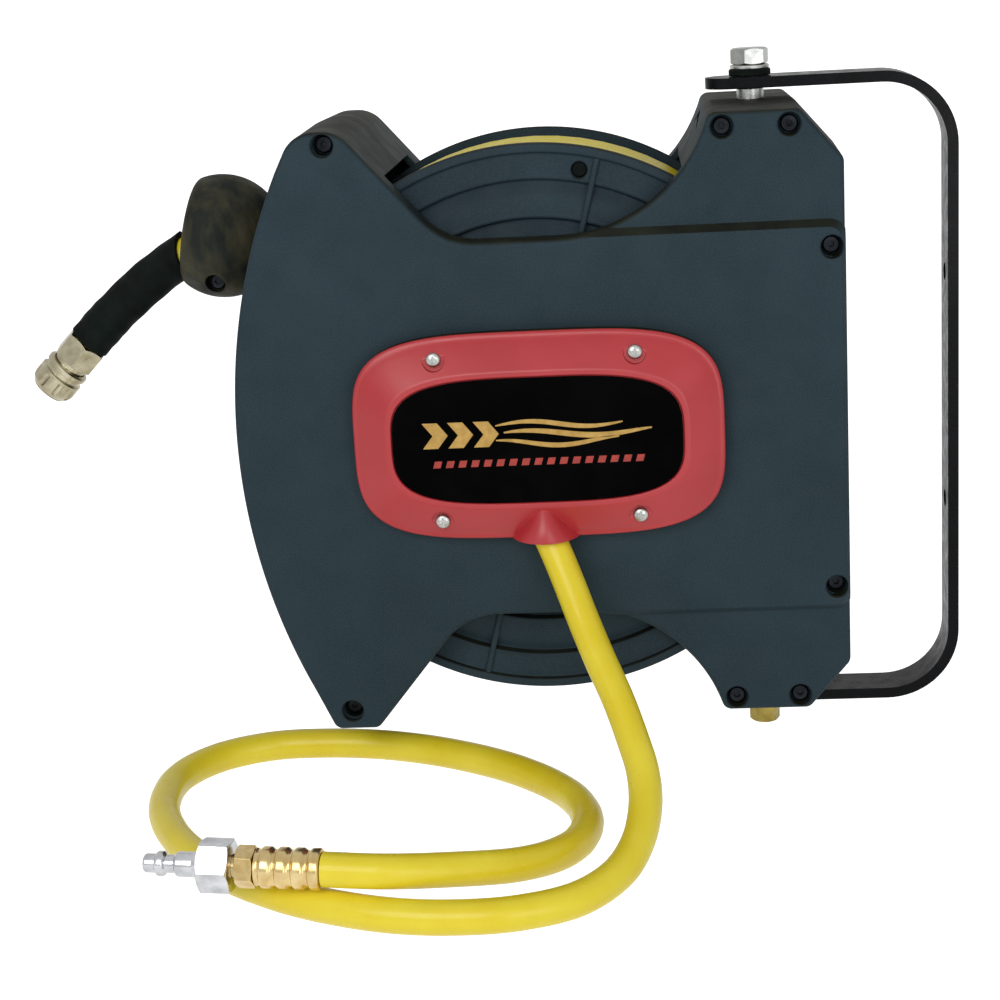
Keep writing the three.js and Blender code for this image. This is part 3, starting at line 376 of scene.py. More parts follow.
# Gives a finished piece its material (from its look, else its slot) and body, smooths its shading and hides
# the CAD nodes it stands for.
def settle(piece, slot, stands=(), body="casing", look=None, angle=35):
    piece.data.materials.clear()
    piece.data.materials.append(finish[look or slot])
    if piece.type == "MESH":
        piece.data.shade_smooth()
        piece.data.set_sharp_from_angle(angle=math.radians(angle))
        flat = piece.modifiers.new("flatFaces", "WEIGHTED_NORMAL")
        flat.keep_sharp = True
        flat.weight = 90
        keep(piece)
    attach(piece, body)
    if stands:
        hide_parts(*stands)
    return piece


# Outline corners (x, z, radius) with each corner rounded in steps of so many degrees.
def rounded(corners, stepDegrees=6):
    points = []
    for i, (x, z, radius) in enumerate(corners):
        here = Vector((x, z))
        if not radius:
            points.append(here)
            continue
        toBefore = (Vector(corners[i - 1][:2]) - here).normalized()
        toAfter = (Vector(corners[(i + 1) % len(corners)][:2]) - here).normalized()
        half = math.acos(max(-1, min(1, toBefore.dot(toAfter)))) / 2
        centre = here + (toBefore + toAfter).normalized() * radius / math.sin(half)
        first = here + toBefore * radius / math.tan(half) - centre
        last = here + toAfter * radius / math.tan(half) - centre
        sweep = math.atan2(first.x * last.y - first.y * last.x, first.dot(last))
        steps = max(2, math.ceil(abs(sweep) / math.radians(stepDegrees)))
        for k in range(steps + 1):
            angle = sweep * k / steps
            cos, sin = math.cos(angle), math.sin(angle)
            points.append(centre + Vector((first.x * cos - first.y * sin, first.x * sin + first.y * cos)))
    return points


# Moves an anticlockwise outline inwards.
def inset(points, distance):
    moved = []
    for i, here in enumerate(points):
        before, after = points[i - 1], points[(i + 1) % len(points)]
        one = Vector((before.y - here.y, here.x - before.x)).normalized()
        two = Vector((here.y - after.y, after.x - here.x)).normalized()
        moved.append(here + (one + two) * distance / (1 + one.dot(two)))
    return moved


# Superellipse: the higher the power, the squarer.
def oval(a, b, power, count=160):
    points = []
    for i in range(count):
        angle = 2 * math.pi * (i + 0.5) / count
        cos, sin = math.cos(angle), math.sin(angle)
        points.append(Vector((math.copysign(a * abs(cos) ** (2 / power), cos),
                              math.copysign(b * abs(sin) ** (2 / power), sin))))
    return points


# Smooth line through points, as the hoses lie.
def smoothLine(points, perSpan=10):
    points = [Vector(p) for p in points]
    padded = [points[0] * 2 - points[1], *points, points[-1] * 2 - points[-2]]
    line = []
    for i in range(1, len(padded) - 2):
        p0, p1, p2, p3 = padded[i - 1:i + 3]
        t0 = 0
        t1 = t0 + (p1 - p0).length ** 0.5
        t2 = t1 + (p2 - p1).length ** 0.5
        t3 = t2 + (p3 - p2).length ** 0.5
        for k in range(perSpan):
            t = t1 + (t2 - t1) * k / perSpan
            a1 = p0 * (t1 - t) / (t1 - t0) + p1 * (t - t0) / (t1 - t0)
            a2 = p1 * (t2 - t) / (t2 - t1) + p2 * (t - t1) / (t2 - t1)
            a3 = p2 * (t3 - t) / (t3 - t2) + p3 * (t - t2) / (t3 - t2)
            b1 = a1 * (t2 - t) / (t2 - t0) + a2 * (t - t0) / (t2 - t0)
            b2 = a2 * (t3 - t) / (t3 - t1) + a3 * (t - t1) / (t3 - t1)
            line.append(b1 * (t2 - t) / (t2 - t1) + b2 * (t - t1) / (t2 - t1))
    line.append(points[-1])
    return line


# Tube along a line; radii may be a function of the share of the way along.
def tube(name, line, radius, sides=32, inner=0.0):
    side = None
    outerRings, innerRings = [], []
    for i, here in enumerate(line):
        ahead = (line[min(i + 1, len(line) - 1)] - line[max(i - 1, 0)]).normalized()
        side = (Vector((0, 1, 0)) if side is None else side)
        side = (side - ahead * side.dot(ahead)).normalized()
        across = ahead.cross(side)
        share = i / (len(line) - 1)
        size = radius(share) if callable(radius) else radius
        around = [side * math.cos(2 * math.pi * k / sides) + across * math.sin(2 * math.pi * k / sides)
                  for k in range(sides)]
        outerRings.append([here + way * size for way in around])
        innerRings.append([here + way * inner for way in around])
    if inner:
        rings = outerRings + innerRings[::-1] + [outerRings[0]]
        return loft(name, rings, capped=False)
    return loft(name, outerRings)


# Hexagon across its flats with both ends chamfered, turned about its axis by so many degrees.
def hexagon(name, start, heading, low, high, flats, chamfer=0.9, twist=0.0):
    radius = flats / math.sqrt(3)
    prism = rod(name, start, heading, low, high, radius, 6)
    turn = Quaternion(heading, math.radians(twist)).to_matrix().to_4x4()
    prism.data.transform(Matrix.Translation(spot(*start)) @ turn @ Matrix.Translation(-spot(*start)))
    face = flats / 2 - chamfer * 0.3
    wide = radius + 1.0
    cone = lathe("cone", [(0, low), (face, low), (wide, low + chamfer * 1.5), (wide, (low + high) / 2),
                          (wide, high - chamfer * 1.5), (face, high), (0, high)], start, heading, 72)
    return combine(prism, [cone], "INTERSECT")


inlet = {
    "radius": 8,
    "route": [
        (1.6, -9.9, -48.2), (3.2, -10.9, -51.8), (6, -13, -58), (11.6, -20, -71),
        (19, -31, -88.8), (26.8, -44, -105.2), (35.2, -58, -121.1), (41.8, -72, -136.4),
        (46, -84, -147.4), (47, -98, -157.8), (43.5, -116, -168.3), (34.8, -134, -175.6),
        (17.1, -154, -179), (-8.9, -167.5, -179), (-35.4, -171, -179), (-62.2, -168.6, -179),
        (-90.3, -159.6, -179), (-119.9, -144, -179), (-154, -116, -179), (-180, -82, -179),
        (-197, -40, -179), (-197.5, 0.5, -179), (-182, 27.5, -179), (-156, 42.5, -179),
        (-128, 45, -179), (-94, 40, -179), (-57, 25, -179), (-18.7, -2, -179),
        (8.4, -35.6, -179), (18, -66, -179), (15, -93, -178.2), (5, -114, -175.8),
        (-12, -132, -172.2), (-41.4, -148.5, -166.4), (-70, -159.4, -161.6), (-97, -157.6, -160.8),
    ],
}
outlet = {
    "mouthX": -138.62,
    "mouthZ": 98.5,
    "end": (-240.62, 70, 42.2),
    "heading": (-0.704143, 0, -0.710058),
    "route": [
        (46, 13.6), (23, 6.7), (0, 0.6), (-20, -1.8), (-40, -8.3), (-55, -17.2),
        (-70, -27.7), (-86, -41), (-94, -48.4), (-102, -56.3),
    ],
}
mouth = (outlet["mouthX"], midY, outlet["mouthZ"])
outletPoints = [Vector((mouth[0] + x, midY, mouth[2] + z)) for x, z in outlet["route"]]


def hoseCurve(name, line, radius):
    curve = bpy.data.curves.new(name, "CURVE")
    curve.dimensions = "3D"
    curve.bevel_depth = radius * 0.001
    curve.bevel_resolution = 7
    curve.use_fill_caps = True
    spline = curve.splines.new("POLY")
    spline.points.add(len(line) - 1)
    for point, here in zip(spline.points, line):
        point.co = (*spot(*here), 1)
    spline.use_smooth = True
    made = bpy.data.objects.new(name, curve)
    bpy.context.scene.collection.objects.link(made)
    return made


def lengthOf(line):
    return sum((b - a).length for a, b in zip(line, line[1:])) * 0.001


inletLine = smoothLine(inlet["route"])
inletHose = settle(hoseCurve("inlet_hose_yellow", inletLine, inlet["radius"]), "hose", ["inlet_hose"])
cordStart = 14  # points in the route's first span, which is left to the casing
outletLine = smoothLine(outletPoints, cordStart)
outletHose = settle(hoseCurve("outlet_hose_yellow", outletLine[cordStart:], inlet["radius"]),
                    "hose", ["outlet_hose"])
plugAt = Vector(inlet["route"][-1])
plugHeading = (inletLine[-1] - inletLine[-2]).normalized()
outletEnd = Vector(outlet["end"])
outletHeading = Vector(outlet["heading"])
print("hoses laid", round(lengthOf(inletLine), 3), round(lengthOf(outletLine[cordStart:]), 3))


casing = {
    "sideX": 153.2, "topZ": 152.5, "depth": 140, "wall": 3, "draft": 1, "edgeRound": 2.6, "panelStep": 5,
    "sideRadius": 312, "notchHalf": 96, "notchLeft": -41.6, "notchRadius": 35, "blockArc": 76, "blockX": 87,
    "cornerX": 21.5, "cornerZ": 25, "lobeWidth": 23.2, "lobeDrop": 3, "panelMargin": 3.2, "seam": 0.15,
    "clearRadius": 146, "clearY": (13.5, 114.5), "pivotX": 111, "pivotHole": 7.1,
    "recessRadius": 5.5, "recessDeep": 12, "recessLip": 1.3, "boss": 7,
    "lobeScrews": [(-98.1, 145), (-103.7, -144.5)],
}


def curvedSide(z):
    return casing["sideRadius"] - casing["sideX"] - math.sqrt(casing["sideRadius"] ** 2 - z ** 2)


topZ, sideX, pivotX = casing["topZ"], casing["sideX"], casing["pivotX"]
blockArc = casing["blockArc"]
arcZ = casing["notchHalf"] + blockArc
arcX = casing["blockX"] - math.sqrt(blockArc ** 2 - (arcZ - topZ) ** 2)
firstTurn = math.atan2(topZ - arcZ, casing["blockX"] - arcX)
blockCurve = []
for k in range(1, 25):
    angle = firstTurn + (-math.pi / 2 - firstTurn) * k / 24
    blockCurve.append((arcX + blockArc * math.cos(angle), arcZ + blockArc * math.sin(angle), 0))
tipX = curvedSide(topZ)


# Upper half of the outline, from the wall side to the lobe by the mouth.
def halfOutline(tipRound, tipZ):
    return [
        (sideX, topZ - casing["cornerZ"], 7), (sideX - casing["cornerX"], topZ, 6),
        (casing["blockX"], topZ, 6), *blockCurve,
        (casing["notchLeft"], casing["notchHalf"], casing["notchRadius"]),
        (tipX + casing["lobeWidth"], tipZ, tipRound), (tipX, tipZ, tipRound),
    ]


sideLine = [(curvedSide(topZ * (1 - k / 32)), topZ * (1 - k / 32), 0) for k in range(4, 61)]
lowerHalf = [(x, -z, r) for x, z, r in reversed(halfOutline(6, topZ + casing["lobeDrop"]))]
outline = rounded([*halfOutline(18, topZ), *sideLine, *lowerHalf])
panelX, panelZ = sideX - casing["panelMargin"], casing["notchHalf"] - 1
panelOutline = rounded([
    (-2 * sideX, -2 * topZ, 0), (arcX, -2 * topZ, 0), (arcX, -panelZ, 0), (panelX, -panelZ, 6),
    (panelX, panelZ, 6), (arcX, panelZ, 0), (arcX, 2 * topZ, 0), (-2 * sideX, 2 * topZ, 0),
])
wallScrews = [(pivotX - 16.7, topZ - 8), (pivotX + 15.5, topZ - 8.2),
              (sideX - 7.7, casing["notchHalf"] - 10.6)]
screwSpots = [*wallScrews, *casing["lobeScrews"], *[(x, -z) for x, z in reversed(wallScrews)]]


# Rounded front or rear edge: levels from the face to full depth.
def edgeLevels(face, way):
    levels = []
    for k in range(6):
        angle = math.pi / 2 * k / 5
        levels.append((face + way * casing["edgeRound"] * (1 - math.cos(angle)),
                       inset(outline, casing["draft"] + casing["edgeRound"] * (1 - math.sin(angle)))))
    return levels


def bosses(y0, y1):
    return [rod("boss", (x, 0, z), backward, y0, y1, casing["boss"], 40) for x, z in screwSpots]


def sharedCuts():
    low, high = casing["clearY"]
    cuts = [rod("clearance", (0, 0, 0), backward, low, high, casing["clearRadius"], 180),
            rod("mouth", mouth, roomward, -14, 10, 12.5, 48)]
    for way in (upward, downward):
        cuts.append(rod("pivotHole", (pivotX, midY, 0), way, topZ - 40, topZ + 1, casing["pivotHole"], 40))
    return cuts


inner = inset(outline, casing["wall"] + casing["draft"])
bossRoom = inset(outline, casing["wall"])


# Cheeks that hold the rollers at the mouth, and the pivots' seats.
def innards(side):
    y0, y1 = (midY - 22, midY - 19) if side < 0 else (midY + 19, midY + 22)
    parts = [block("cheek", mouth[0] - 2, mouth[0] + 18, y0, y1, mouth[2] - 17, mouth[2] + 22)]
    seam = casing["seam"]
    y0, y1 = (midY - 14, midY - seam) if side < 0 else (midY + seam, midY + 14)
    for end in (1, -1):
        z0, z1 = sorted((end * (topZ - 21), end * (topZ - 1)))
        parts.append(block("seat", pivotX - 13, pivotX + 13, y0, y1, z0, z1))
    return parts


def makeFrontShell():
    seamY = midY - casing["seam"]
    step = casing["panelStep"]
    shell = stack("front_shell_moulding",
                  edgeLevels(step, 1) + [(seamY - 0.3, outline), (seamY, inset(outline, 0.35))])
    panel = stack("panel", edgeLevels(0, 1) + [(step + casing["edgeRound"], inset(outline, casing["draft"]))])
    region = stack("region", [(-1, inset(panelOutline, 0.7)), (step, inset(panelOutline, -3.4)),
                              (step + casing["wall"], inset(panelOutline, -3.4))])
    combine(panel, [region], "INTERSECT")
    combine(shell, [panel], "UNION")
    hollow = stack("hollow", [(step + casing["wall"], inner), (midY + 1, inner)])
    panelRoom = inset(panelOutline, casing["wall"] + casing["draft"])
    panelHollow = stack("panelHollow", [(casing["wall"], panelRoom), (step + 4, panelRoom)])
    room = stack("room", [(casing["wall"], inner), (step + 4, inner)])
    combine(panelHollow, [room], "INTERSECT")
    combine(shell, [hollow, panelHollow])
    trim = stack("trim", [(step + 1, bossRoom), (seamY, bossRoom)])
    first, *rest = bosses(step + 1, seamY)
    more = combine(first, rest + innards(-1), "UNION")
    combine(more, [trim], "INTERSECT")
    combine(shell, [more], "UNION")
    cuts = sharedCuts()
    lip = casing["recessLip"]
    for i, (x, z) in enumerate(screwSpots):
        face = 0 if 2 <= i <= 5 else step  # those four stand on the raised panel
        radius = casing["recessRadius"]
        bowl = [(0, -1), (radius + lip, -1), (radius + lip, face - 0.01), (radius + lip * 0.45, face + 0.25),
                (radius, face + 1.0), (radius - 0.4, casing["recessDeep"]), (0, casing["recessDeep"])]
        cuts.append(lathe("recess", bowl, (x, 0, z), backward, 48))
        cuts.append(rod("screwHole", (x, 0, z), backward, step, midY, 2.3, 24))
    cuts.append(rod("stemHole", (0, 0, 0), backward, -1, 12, 7.3, 40))
    combine(shell, cuts)
    return settle(shell, "casing", ["front_shell"], angle=28)


def makeRearShell():
    seamY = midY + casing["seam"]
    shell = stack("rear_shell_moulding", [(seamY, inset(outline, 0.35)), (seamY + 0.3, outline)]
                  + edgeLevels(casing["depth"], -1)[::-1])
    back = casing["depth"] - casing["wall"]
    combine(shell, [stack("hollow", [(midY - 1, inner), (back, inner)])])
    first, *rest = bosses(seamY, back + 2)
    more = combine(first, rest + innards(1), "UNION")
    combine(more, [stack("trim", [(seamY, bossRoom), (back + 2, bossRoom)])], "INTERSECT")
    combine(shell, [more], "UNION")
    cuts = sharedCuts()
    for x, z in screwSpots:
        cuts.append(rod("screwHole", (x, 0, z), backward, midY, midY + 24, 2.3, 24))
    cuts.append(rod("axleHole", (0, 0, 0), backward, 100, 141, 9.3, 40))
    nutRecess = [(0, 138.8), (24, 138.8), (24.8, 140), (24.8, 142), (0, 142)]
    cuts.append(lathe("nutRecess", nutRecess, (0, 0, 0), backward, 96))
    combine(shell, cuts)
    return settle(shell, "casing", ["rear_shell"], angle=28)


makeFrontShell()
makeRearShell()
print("casing moulded")


screw = {"seat": 12, "head": 4.2, "shank": 2, "socket": 1.7}


def socketScrew(name, x, z, stands):  # zinc socket heads drawn near black as painted shade, deep in their bowls
    seat, wide, shank = screw["seat"] - 0.3, screw["head"], screw["shank"]
    head = lathe(name, [(0, seat - 3), (wide - 0.6, seat - 3), (wide, seat - 2.4), (wide, seat),
                        (shank, seat), (shank, midY + 22), (0, midY + 22)], (x, 0, z), backward, 40)
    combine(head, [rod("socket", (x, 0, z), backward, seat - 4, seat - 1.2, screw["socket"], 6)])
    return settle(head, "zinc", stands, look="zinc in painted shade")


for i, (x, z) in enumerate(screwSpots):
    socketScrew(f"casing_screw_head_{i + 1}", x, z, [f"casing_screw_{i + 1}"])


badge = {
    "a": 91.5, "b": 52, "power": 3.9, "plinth": 7, "proud": 19.3, "edge": 1.6, "wall": 2.5, "inset": 1.3,
    "windowA": 71.4, "windowB": 31.4, "windowPower": 3.5, "sunk": 1.6, "lip": 0.8,
    "screwX": 49, "screwZ": 40.7, "screwSeat": 13.2,
    "spoutX": 1.5, "spoutHalf": 18, "spoutTop": -33, "spoutProud": 24, "hoseWay": 9.4,
    "labelA": 71, "labelB": 31,
}


# Half-round hood that flares downwards round the hose.
def spoutHood(name, skin):
    rings = []
    rows = 16
    low = -badge["b"] + 0.3 - (1 if skin else 0)
    high = badge["spoutTop"] - skin
    topProud = badge["proud"] - 3
    turns = [math.pi + math.pi * i / 40 for i in range(41)]
    for k in range(rows + 1):
        share = k / rows
        half = 7.5 + (badge["spoutHalf"] - 7.5) * share ** 1.5 - skin
        proud = topProud + (badge["spoutProud"] - topProud) * math.sin(share * math.pi / 2) - skin
        z = high + (low - high) * share
        rings.append([(badge["spoutX"] + half * math.cos(t), -0.3 + (proud - 0.3) * math.sin(t), z)
                      for t in turns])
    return loft(name, rings)


# Broad sloping frame round the label, on a low plinth of the casing's own plastic.
def makeBadge():
    whole = oval(badge["a"], badge["b"], badge["power"])
    front = -badge["proud"]
    foot = -badge["plinth"]
    rim = oval(badge["windowA"] + 2.2, badge["windowB"] + 2.2, badge["windowPower"])
    plinth = stack("badge_plinth", [(-0.3, inset(whole, 0.4)), (foot + 0.3, inset(whole, badge["inset"]))])
    combine(plinth, [stack("room", [(-20, inset(whole, 6)), (20, inset(whole, 6))])])
    combine(plinth, [tube("hoseWay", smoothLine(inlet["route"][:5], 6), badge["hoseWay"], 32)])
    settle(plinth, "casing", look="casing")

    levels = [(foot, inset(whole, 0.3)), (foot - 0.8, whole)]
    for k in range(1, 6):
        share = k / 6 * 0.06
        angle = math.pi / 2 * k / 5
        bend = badge["edge"]
        levels.append((foot - 0.8 - bend * math.sin(angle) * 0.9,
                       [p.lerp(q, share) for p, q in zip(inset(whole, bend * (1 - math.cos(angle))), rim)]))
    edgeY = levels[-1][0]
    edgeLine = levels[-1][1]
    for k in range(1, 13):
        share = k / 12
        depth = edgeY + (front - edgeY) * share ** 0.92
        levels.append((depth, [p.lerp(q, share) for p, q in zip(edgeLine, rim)]))
    cover = stack("badge_cover_moulding", levels)
    combine(cover, [spoutHood("hood", 0)], "UNION")
    hollow = inset(whole, 4 + badge["wall"])
    ceiling = front + badge["wall"] + badge["sunk"] + 1
    combine(cover, [stack("hollow", [(foot - 1, hollow), (ceiling, inset(rim, 1.5))]),
                    stack("foot", [(0, hollow), (foot - 1, hollow)]), spoutHood("throat", 2)])
    trim = stack("trim", levels)
    spots = [(x, z) for x in (-badge["screwX"], badge["screwX"]) for z in (-badge["screwZ"], badge["screwZ"])]
    first, *rest = [rod("post", (x, 0, z), backward, front + 2, foot + 0.3, 4.5, 32) for x, z in spots]
    combine(first, rest, "UNION")
    combine(first, [trim], "INTERSECT")
    combine(cover, [first], "UNION")
    windowOval = oval(badge["windowA"], badge["windowB"], badge["windowPower"])
    lip = badge["lip"]
    cuts = [stack("window", [(front - 1, inset(windowOval, -lip)), (front, inset(windowOval, -lip)),
                             (front + lip * 0.3, inset(windowOval, -lip * 0.5)), (front + lip, windowOval),
                             (front + badge["sunk"], windowOval)])]
    seat = -badge["screwSeat"]
    bowl = [(0, seat - 9), (5.6, seat - 9), (5.6, seat - 0.3), (5.1, seat), (1.9, seat), (1.9, 1), (0, 1)]
    for x, z in spots:
        cuts.append(lathe("seat", bowl, (x, 0, z), backward, 48))
    cuts.append(tube("hoseWay", smoothLine(inlet["route"][:5], 6), badge["hoseWay"], 32))
    combine(cover, cuts)
    settle(cover, "red cover", ["badge_cover"], angle=32)

    labelOval = oval(badge["labelA"], badge["labelB"], badge["windowPower"])
    labelBack = front + badge["sunk"] - 0.3
    labelFront = labelBack - 1.6
    plate = stack("label_gloss", [(labelBack, labelOval), (labelBack - 1.3, labelOval),
                                  (labelFront, inset(labelOval, 0.3))])
    settle(plate, "label", ["label_plate"])
    return labelFront


labelFace = makeBadge()

ornament = {
    "chevrons": 3, "chevronLeft": -56, "chevronStep": 12.5, "chevronWide": 7.5, "chevronHigh": 6.4,
    "chevronMiddle": 4, "chevronPoint": 5,
    # each stroke's left end, height, length and thickness
    "strokes": [(-20, 8, 62, 2.4), (-16, 3.4, 72, 2.8), (-20, -1, 60, 2.4)],
    "dashes": 17, "dashZ": -12.2, "dashStep": 6.2, "dashLong": 3.6, "dashHigh": 3.4, "ink": 0.08,
}


def printInk(name, shape, ink):
    settle(stack(name, [(labelFace - 0.02, shape), (labelFace - ornament["ink"], shape)]), "label", look=ink)


# Gold chevrons running into three airflow strokes over a row of slanted red dashes, without any lettering.
def makeOrnament():
    high, middle = ornament["chevronHigh"], ornament["chevronMiddle"]
    for i in range(ornament["chevrons"]):
        left = ornament["chevronLeft"] + i * ornament["chevronStep"]
        right = left + ornament["chevronWide"]
        point = ornament["chevronPoint"]
        chevron = [(left, middle + high), (right, middle + high), (right + point, middle),
                   (right, middle - high), (left, middle - high), (left + point, middle)]
        printInk(f"label_chevron_{i + 1}", chevron, "gold ink")
    for i, (left, z, long, thick) in enumerate(ornament["strokes"]):
        upper, lower = [], []
        for k in range(41):
            share = k / 40
            wave = 1.7 * math.sin(share * math.pi * 2 + i * 0.7)
            half = thick / 2 * math.sin(math.pi * (0.02 + 0.96 * share)) ** 0.5
            upper.append((left + long * share, z + wave + half))
            lower.append((left + long * share, z + wave - half))
        printInk(f"label_stroke_{i + 1}", upper + lower[::-1], "gold ink")
    for i in range(ornament["dashes"]):
        x = (i - (ornament["dashes"] - 1) / 2) * ornament["dashStep"] - 2
        z, long, tall = ornament["dashZ"], ornament["dashLong"], ornament["dashHigh"]
        dash = [(x, z), (x + long, z), (x + long + 1, z + tall), (x + 1, z + tall)]
        printInk(f"label_dash_{i + 1}", dash, "red ink")


makeOrnament()


# Zinc-plated domed head with a cross recess.
def badgeScrew(number, x, z):
    seat = -badge["screwSeat"] - 0.3
    dome = [(0, seat - 2.3)]
    for k in range(1, 9):
        angle = math.pi / 2 * k / 8
        dome.append((3.6 * math.sin(angle), seat - 2.3 + 1.7 * (1 - math.cos(angle))))
    dome += [(3.6, seat), (1.6, seat), (1.6, 8), (0, 8)]
    head = lathe(f"badge_screw_head_{number}", dome, (x, 0, z), backward, 40)
    combine(head, [block("slot", x - long, x + long, seat - 4, seat - 1.2, z - wide, z + wide)
                   for long, wide in ((2.0, 0.45), (0.45, 2.0))])
    return settle(head, "zinc", [f"badge_screw_{number}"])


headSpots = [(x, z) for z in (badge["screwZ"], -badge["screwZ"]) for x in (-badge["screwX"], badge["screwX"])]
for number, (x, z) in enumerate(headSpots, 1):
    badgeScrew(number, x, z)
print("cover fitted")


drum = {
    "flange": 140, "rim": 5, "face": 18.5, "proud": 2.5, "back": 22.5, "hub": 92.96, "hubWall": 3,
    "split": 65.25, "rearFace": 108, "rearBack": 112, "caseRadius": 83.6, "caseEnd": 132,
    "ribs": 6, "ribStart": 14.5, "ribThick": 3, "stepOut": 120.5, "stepIn": 101.5, "stepHigh": 3.2,
    "peepOut": 128.3, "peepTurn": 11.2, "screwOut": 60, "teeth": 12, "toothRoot": 83, "toothTip": 90,
}
hub, flange = drum["hub"], drum["flange"]
hubBore = hub - drum["hubWall"]
halfScrews = [(drum["screwOut"] * math.cos(math.radians(a)), 0, drum["screwOut"] * math.sin(math.radians(a)))
              for a in (30, 210)]


# Front flange with a raised rim, two stepped rings, six ribs and a blind peep hole, darkened by a near-black
# disc inside as painted shade.
def makeDrumFront():
    face, back, high = drum["face"], drum["back"], drum["stepHigh"]
    rimFace, rimEdge = face - drum["proud"], flange - drum["rim"]
    profile = [(7.5, rimFace), (13.5, rimFace), (13.5, face), (60, face)]
    for step in (drum["stepIn"], drum["stepOut"]):
        profile += [(step - 10, face), (step - 4, face + high * 0.5), (step - 1, face + high),
                    (step + 1, face + high), (step + 2, face - 0.2), (step + 2.9, face - 0.6),
                    (step + 4.5, face)]
    profile += [
        (rimEdge - 1.2, face), (rimEdge, face - 0.4), (rimEdge + 0.6, rimFace + 0.4),
        (rimEdge + 1.2, rimFace), (flange - 1.2, rimFace), (flange - 0.35, rimFace + 0.35),
        (flange, rimFace + 1.2), (flange, back - 0.6), (flange - 0.6, back), (hub, back),
        (hub, drum["split"]), (hubBore, drum["split"]), (hubBore, back), (7.5, back),
    ]
    front = lathe("drum_front_moulding", profile, (0, 0, 0), backward, 200)
    half = drum["ribThick"] / 2
    section = [(-half, face + 1.5), (-half, face - 1.2), (-half + 0.6, face - 1.8), (half - 0.6, face - 1.8),
               (half, face - 1.2), (half, face + 1.5)]
    ribs = []
    for k in range(drum["ribs"]):
        angle = math.radians(drum["ribStart"] + 360 * k / drum["ribs"])
        out = Vector((math.sin(angle), 0, math.cos(angle)))
        across = Vector((math.cos(angle), 0, -math.sin(angle)))
        ribs.append(loft("rib", [[out * reach + across * side + backward * y for side, y in section]
                                 for reach in (41, rimEdge + 0.3)]))
    combine(front, ribs, "UNION")
    turn = math.radians(drum["peepTurn"])
    peep = (drum["peepOut"] * math.sin(turn), 0, drum["peepOut"] * math.cos(turn))
    well = [(0, face - 2), (4.6, face - 2), (4.6, face), (4, face + 0.5), (4, back - 0.7), (0, back - 0.7)]
    cuts = [lathe("peep", well, peep, backward, 40), rod("hoseHole", (0, 44.5, 0), upward, 80, 95, 9, 40)]
    cuts += [rod("hole", screwAt, backward, face - 1, back + 1, 2.1, 24) for screwAt in halfScrews]
    combine(front, cuts)
    settle(front, "drum", ["drum_front"], "drum", angle=30)
    # A near-black disc sits inside the peep hole as painted shade.
    plug = [(0, face + 1.7), (3.2, face + 1.7), (3.85, face + 2.2), (3.85, face + 3.1), (0, face + 3.1)]
    settle(lathe("drum_peep_shade_disc", plug, peep, backward, 40), "rubber", body="drum", look="sleeve")


# Rear flange with the hub, the spring case, the ratchet ring and the posts for the two screws.
def makeDrumRear():
    near, far, case, end = drum["rearFace"], drum["rearBack"], drum["caseRadius"], drum["caseEnd"]
    profile = [
        (12.3, near - 4), (17.3, near - 4), (17.3, near), (hubBore, near), (hubBore, drum["split"] + 0.3),
        (hub, drum["split"] + 0.3), (hub, near), (flange - 0.6, near), (flange, near + 0.6),
        (flange, far - 0.8), (flange - 0.8, far),
        (case, far), (case, end), (case - 3, end), (case - 3, far), (12.3, far),
    ]
    rear = lathe("drum_rear_moulding", profile, (0, 0, 0), backward, 200)
    root, tip = drum["toothRoot"], drum["toothTip"]
    pitch = 2 * math.pi / drum["teeth"]
    teeth = []
    for k in range(drum["teeth"]):
        for radius, part in ((root, 0), (root, 0.25), (root, 0.5), (tip, 0.94), (root, 0.98)):
            teeth.append((radius * math.cos((k + part) * pitch), radius * math.sin((k + part) * pitch)))
    ratchet = stack("ratchet", [(far - 0.5, teeth), (far + 7, teeth)])
    combine(ratchet, [rod("bore", (0, 0, 0), backward, far - 2, far + 9, case - 1, 160)])
    posts = [rod("post", screwAt, backward, drum["back"] + 0.3, near + 1, 6, 40) for screwAt in halfScrews]
    combine(rear, [ratchet, *posts], "UNION")
    settle(rear, "drum", ["drum_rear"], "drum", angle=30)


makeDrumFront()
makeDrumRear()


wound = {
    "turns": 5, "layers": 3, "first": 31, "last": 99.6, "inner": 101.6, "rise": 13.85,
    "steps": 72, "sides": 16, "sagDeep": 8.2, "sagMiddle": 262, "sagSpread": 34, "sagReach": 30,
    "swell": 4.6, "swellMiddle": 66, "swellSpread": 30,
}


# Three layers wound to and fro; the outer one sags below at the front and lifts a little above.
def makeWoundHose():
    line = []
    for layer in range(wound["layers"]):
        for k in range(wound["turns"] * wound["steps"]):
            share = k / (wound["turns"] * wound["steps"])
            angle = 2 * math.pi * k / wound["steps"]
            ends = (wound["first"], wound["last"]) if layer % 2 == 0 else (wound["last"], wound["first"])
            y = ends[0] + (ends[1] - ends[0]) * share
            blendIn = min(1, k / (wound["steps"] * 0.3))
            radius = wound["inner"] + wound["rise"] * (layer - 1 + blendIn if layer else 0)
            if layer == wound["layers"] - 1:
                away = abs((math.degrees(angle) - wound["sagMiddle"] + 180) % 360 - 180)
                near = max(0, 1 - (y - wound["first"]) / wound["sagReach"])
                radius += wound["sagDeep"] * near * math.exp(-(away / wound["sagSpread"]) ** 2)
                high = abs(math.degrees(angle) - wound["swellMiddle"])
                radius += wound["swell"] * math.exp(-(high / wound["swellSpread"]) ** 2)
            line.append(Vector((radius * math.cos(angle), y, radius * math.sin(angle))))
    turns = tube("wound_hose_turns", line, inlet["radius"] - 0.15, wound["sides"])
    settle(turns, "hose", ["wound_hose"], "drum")


makeWoundHose()
print("drum wound")


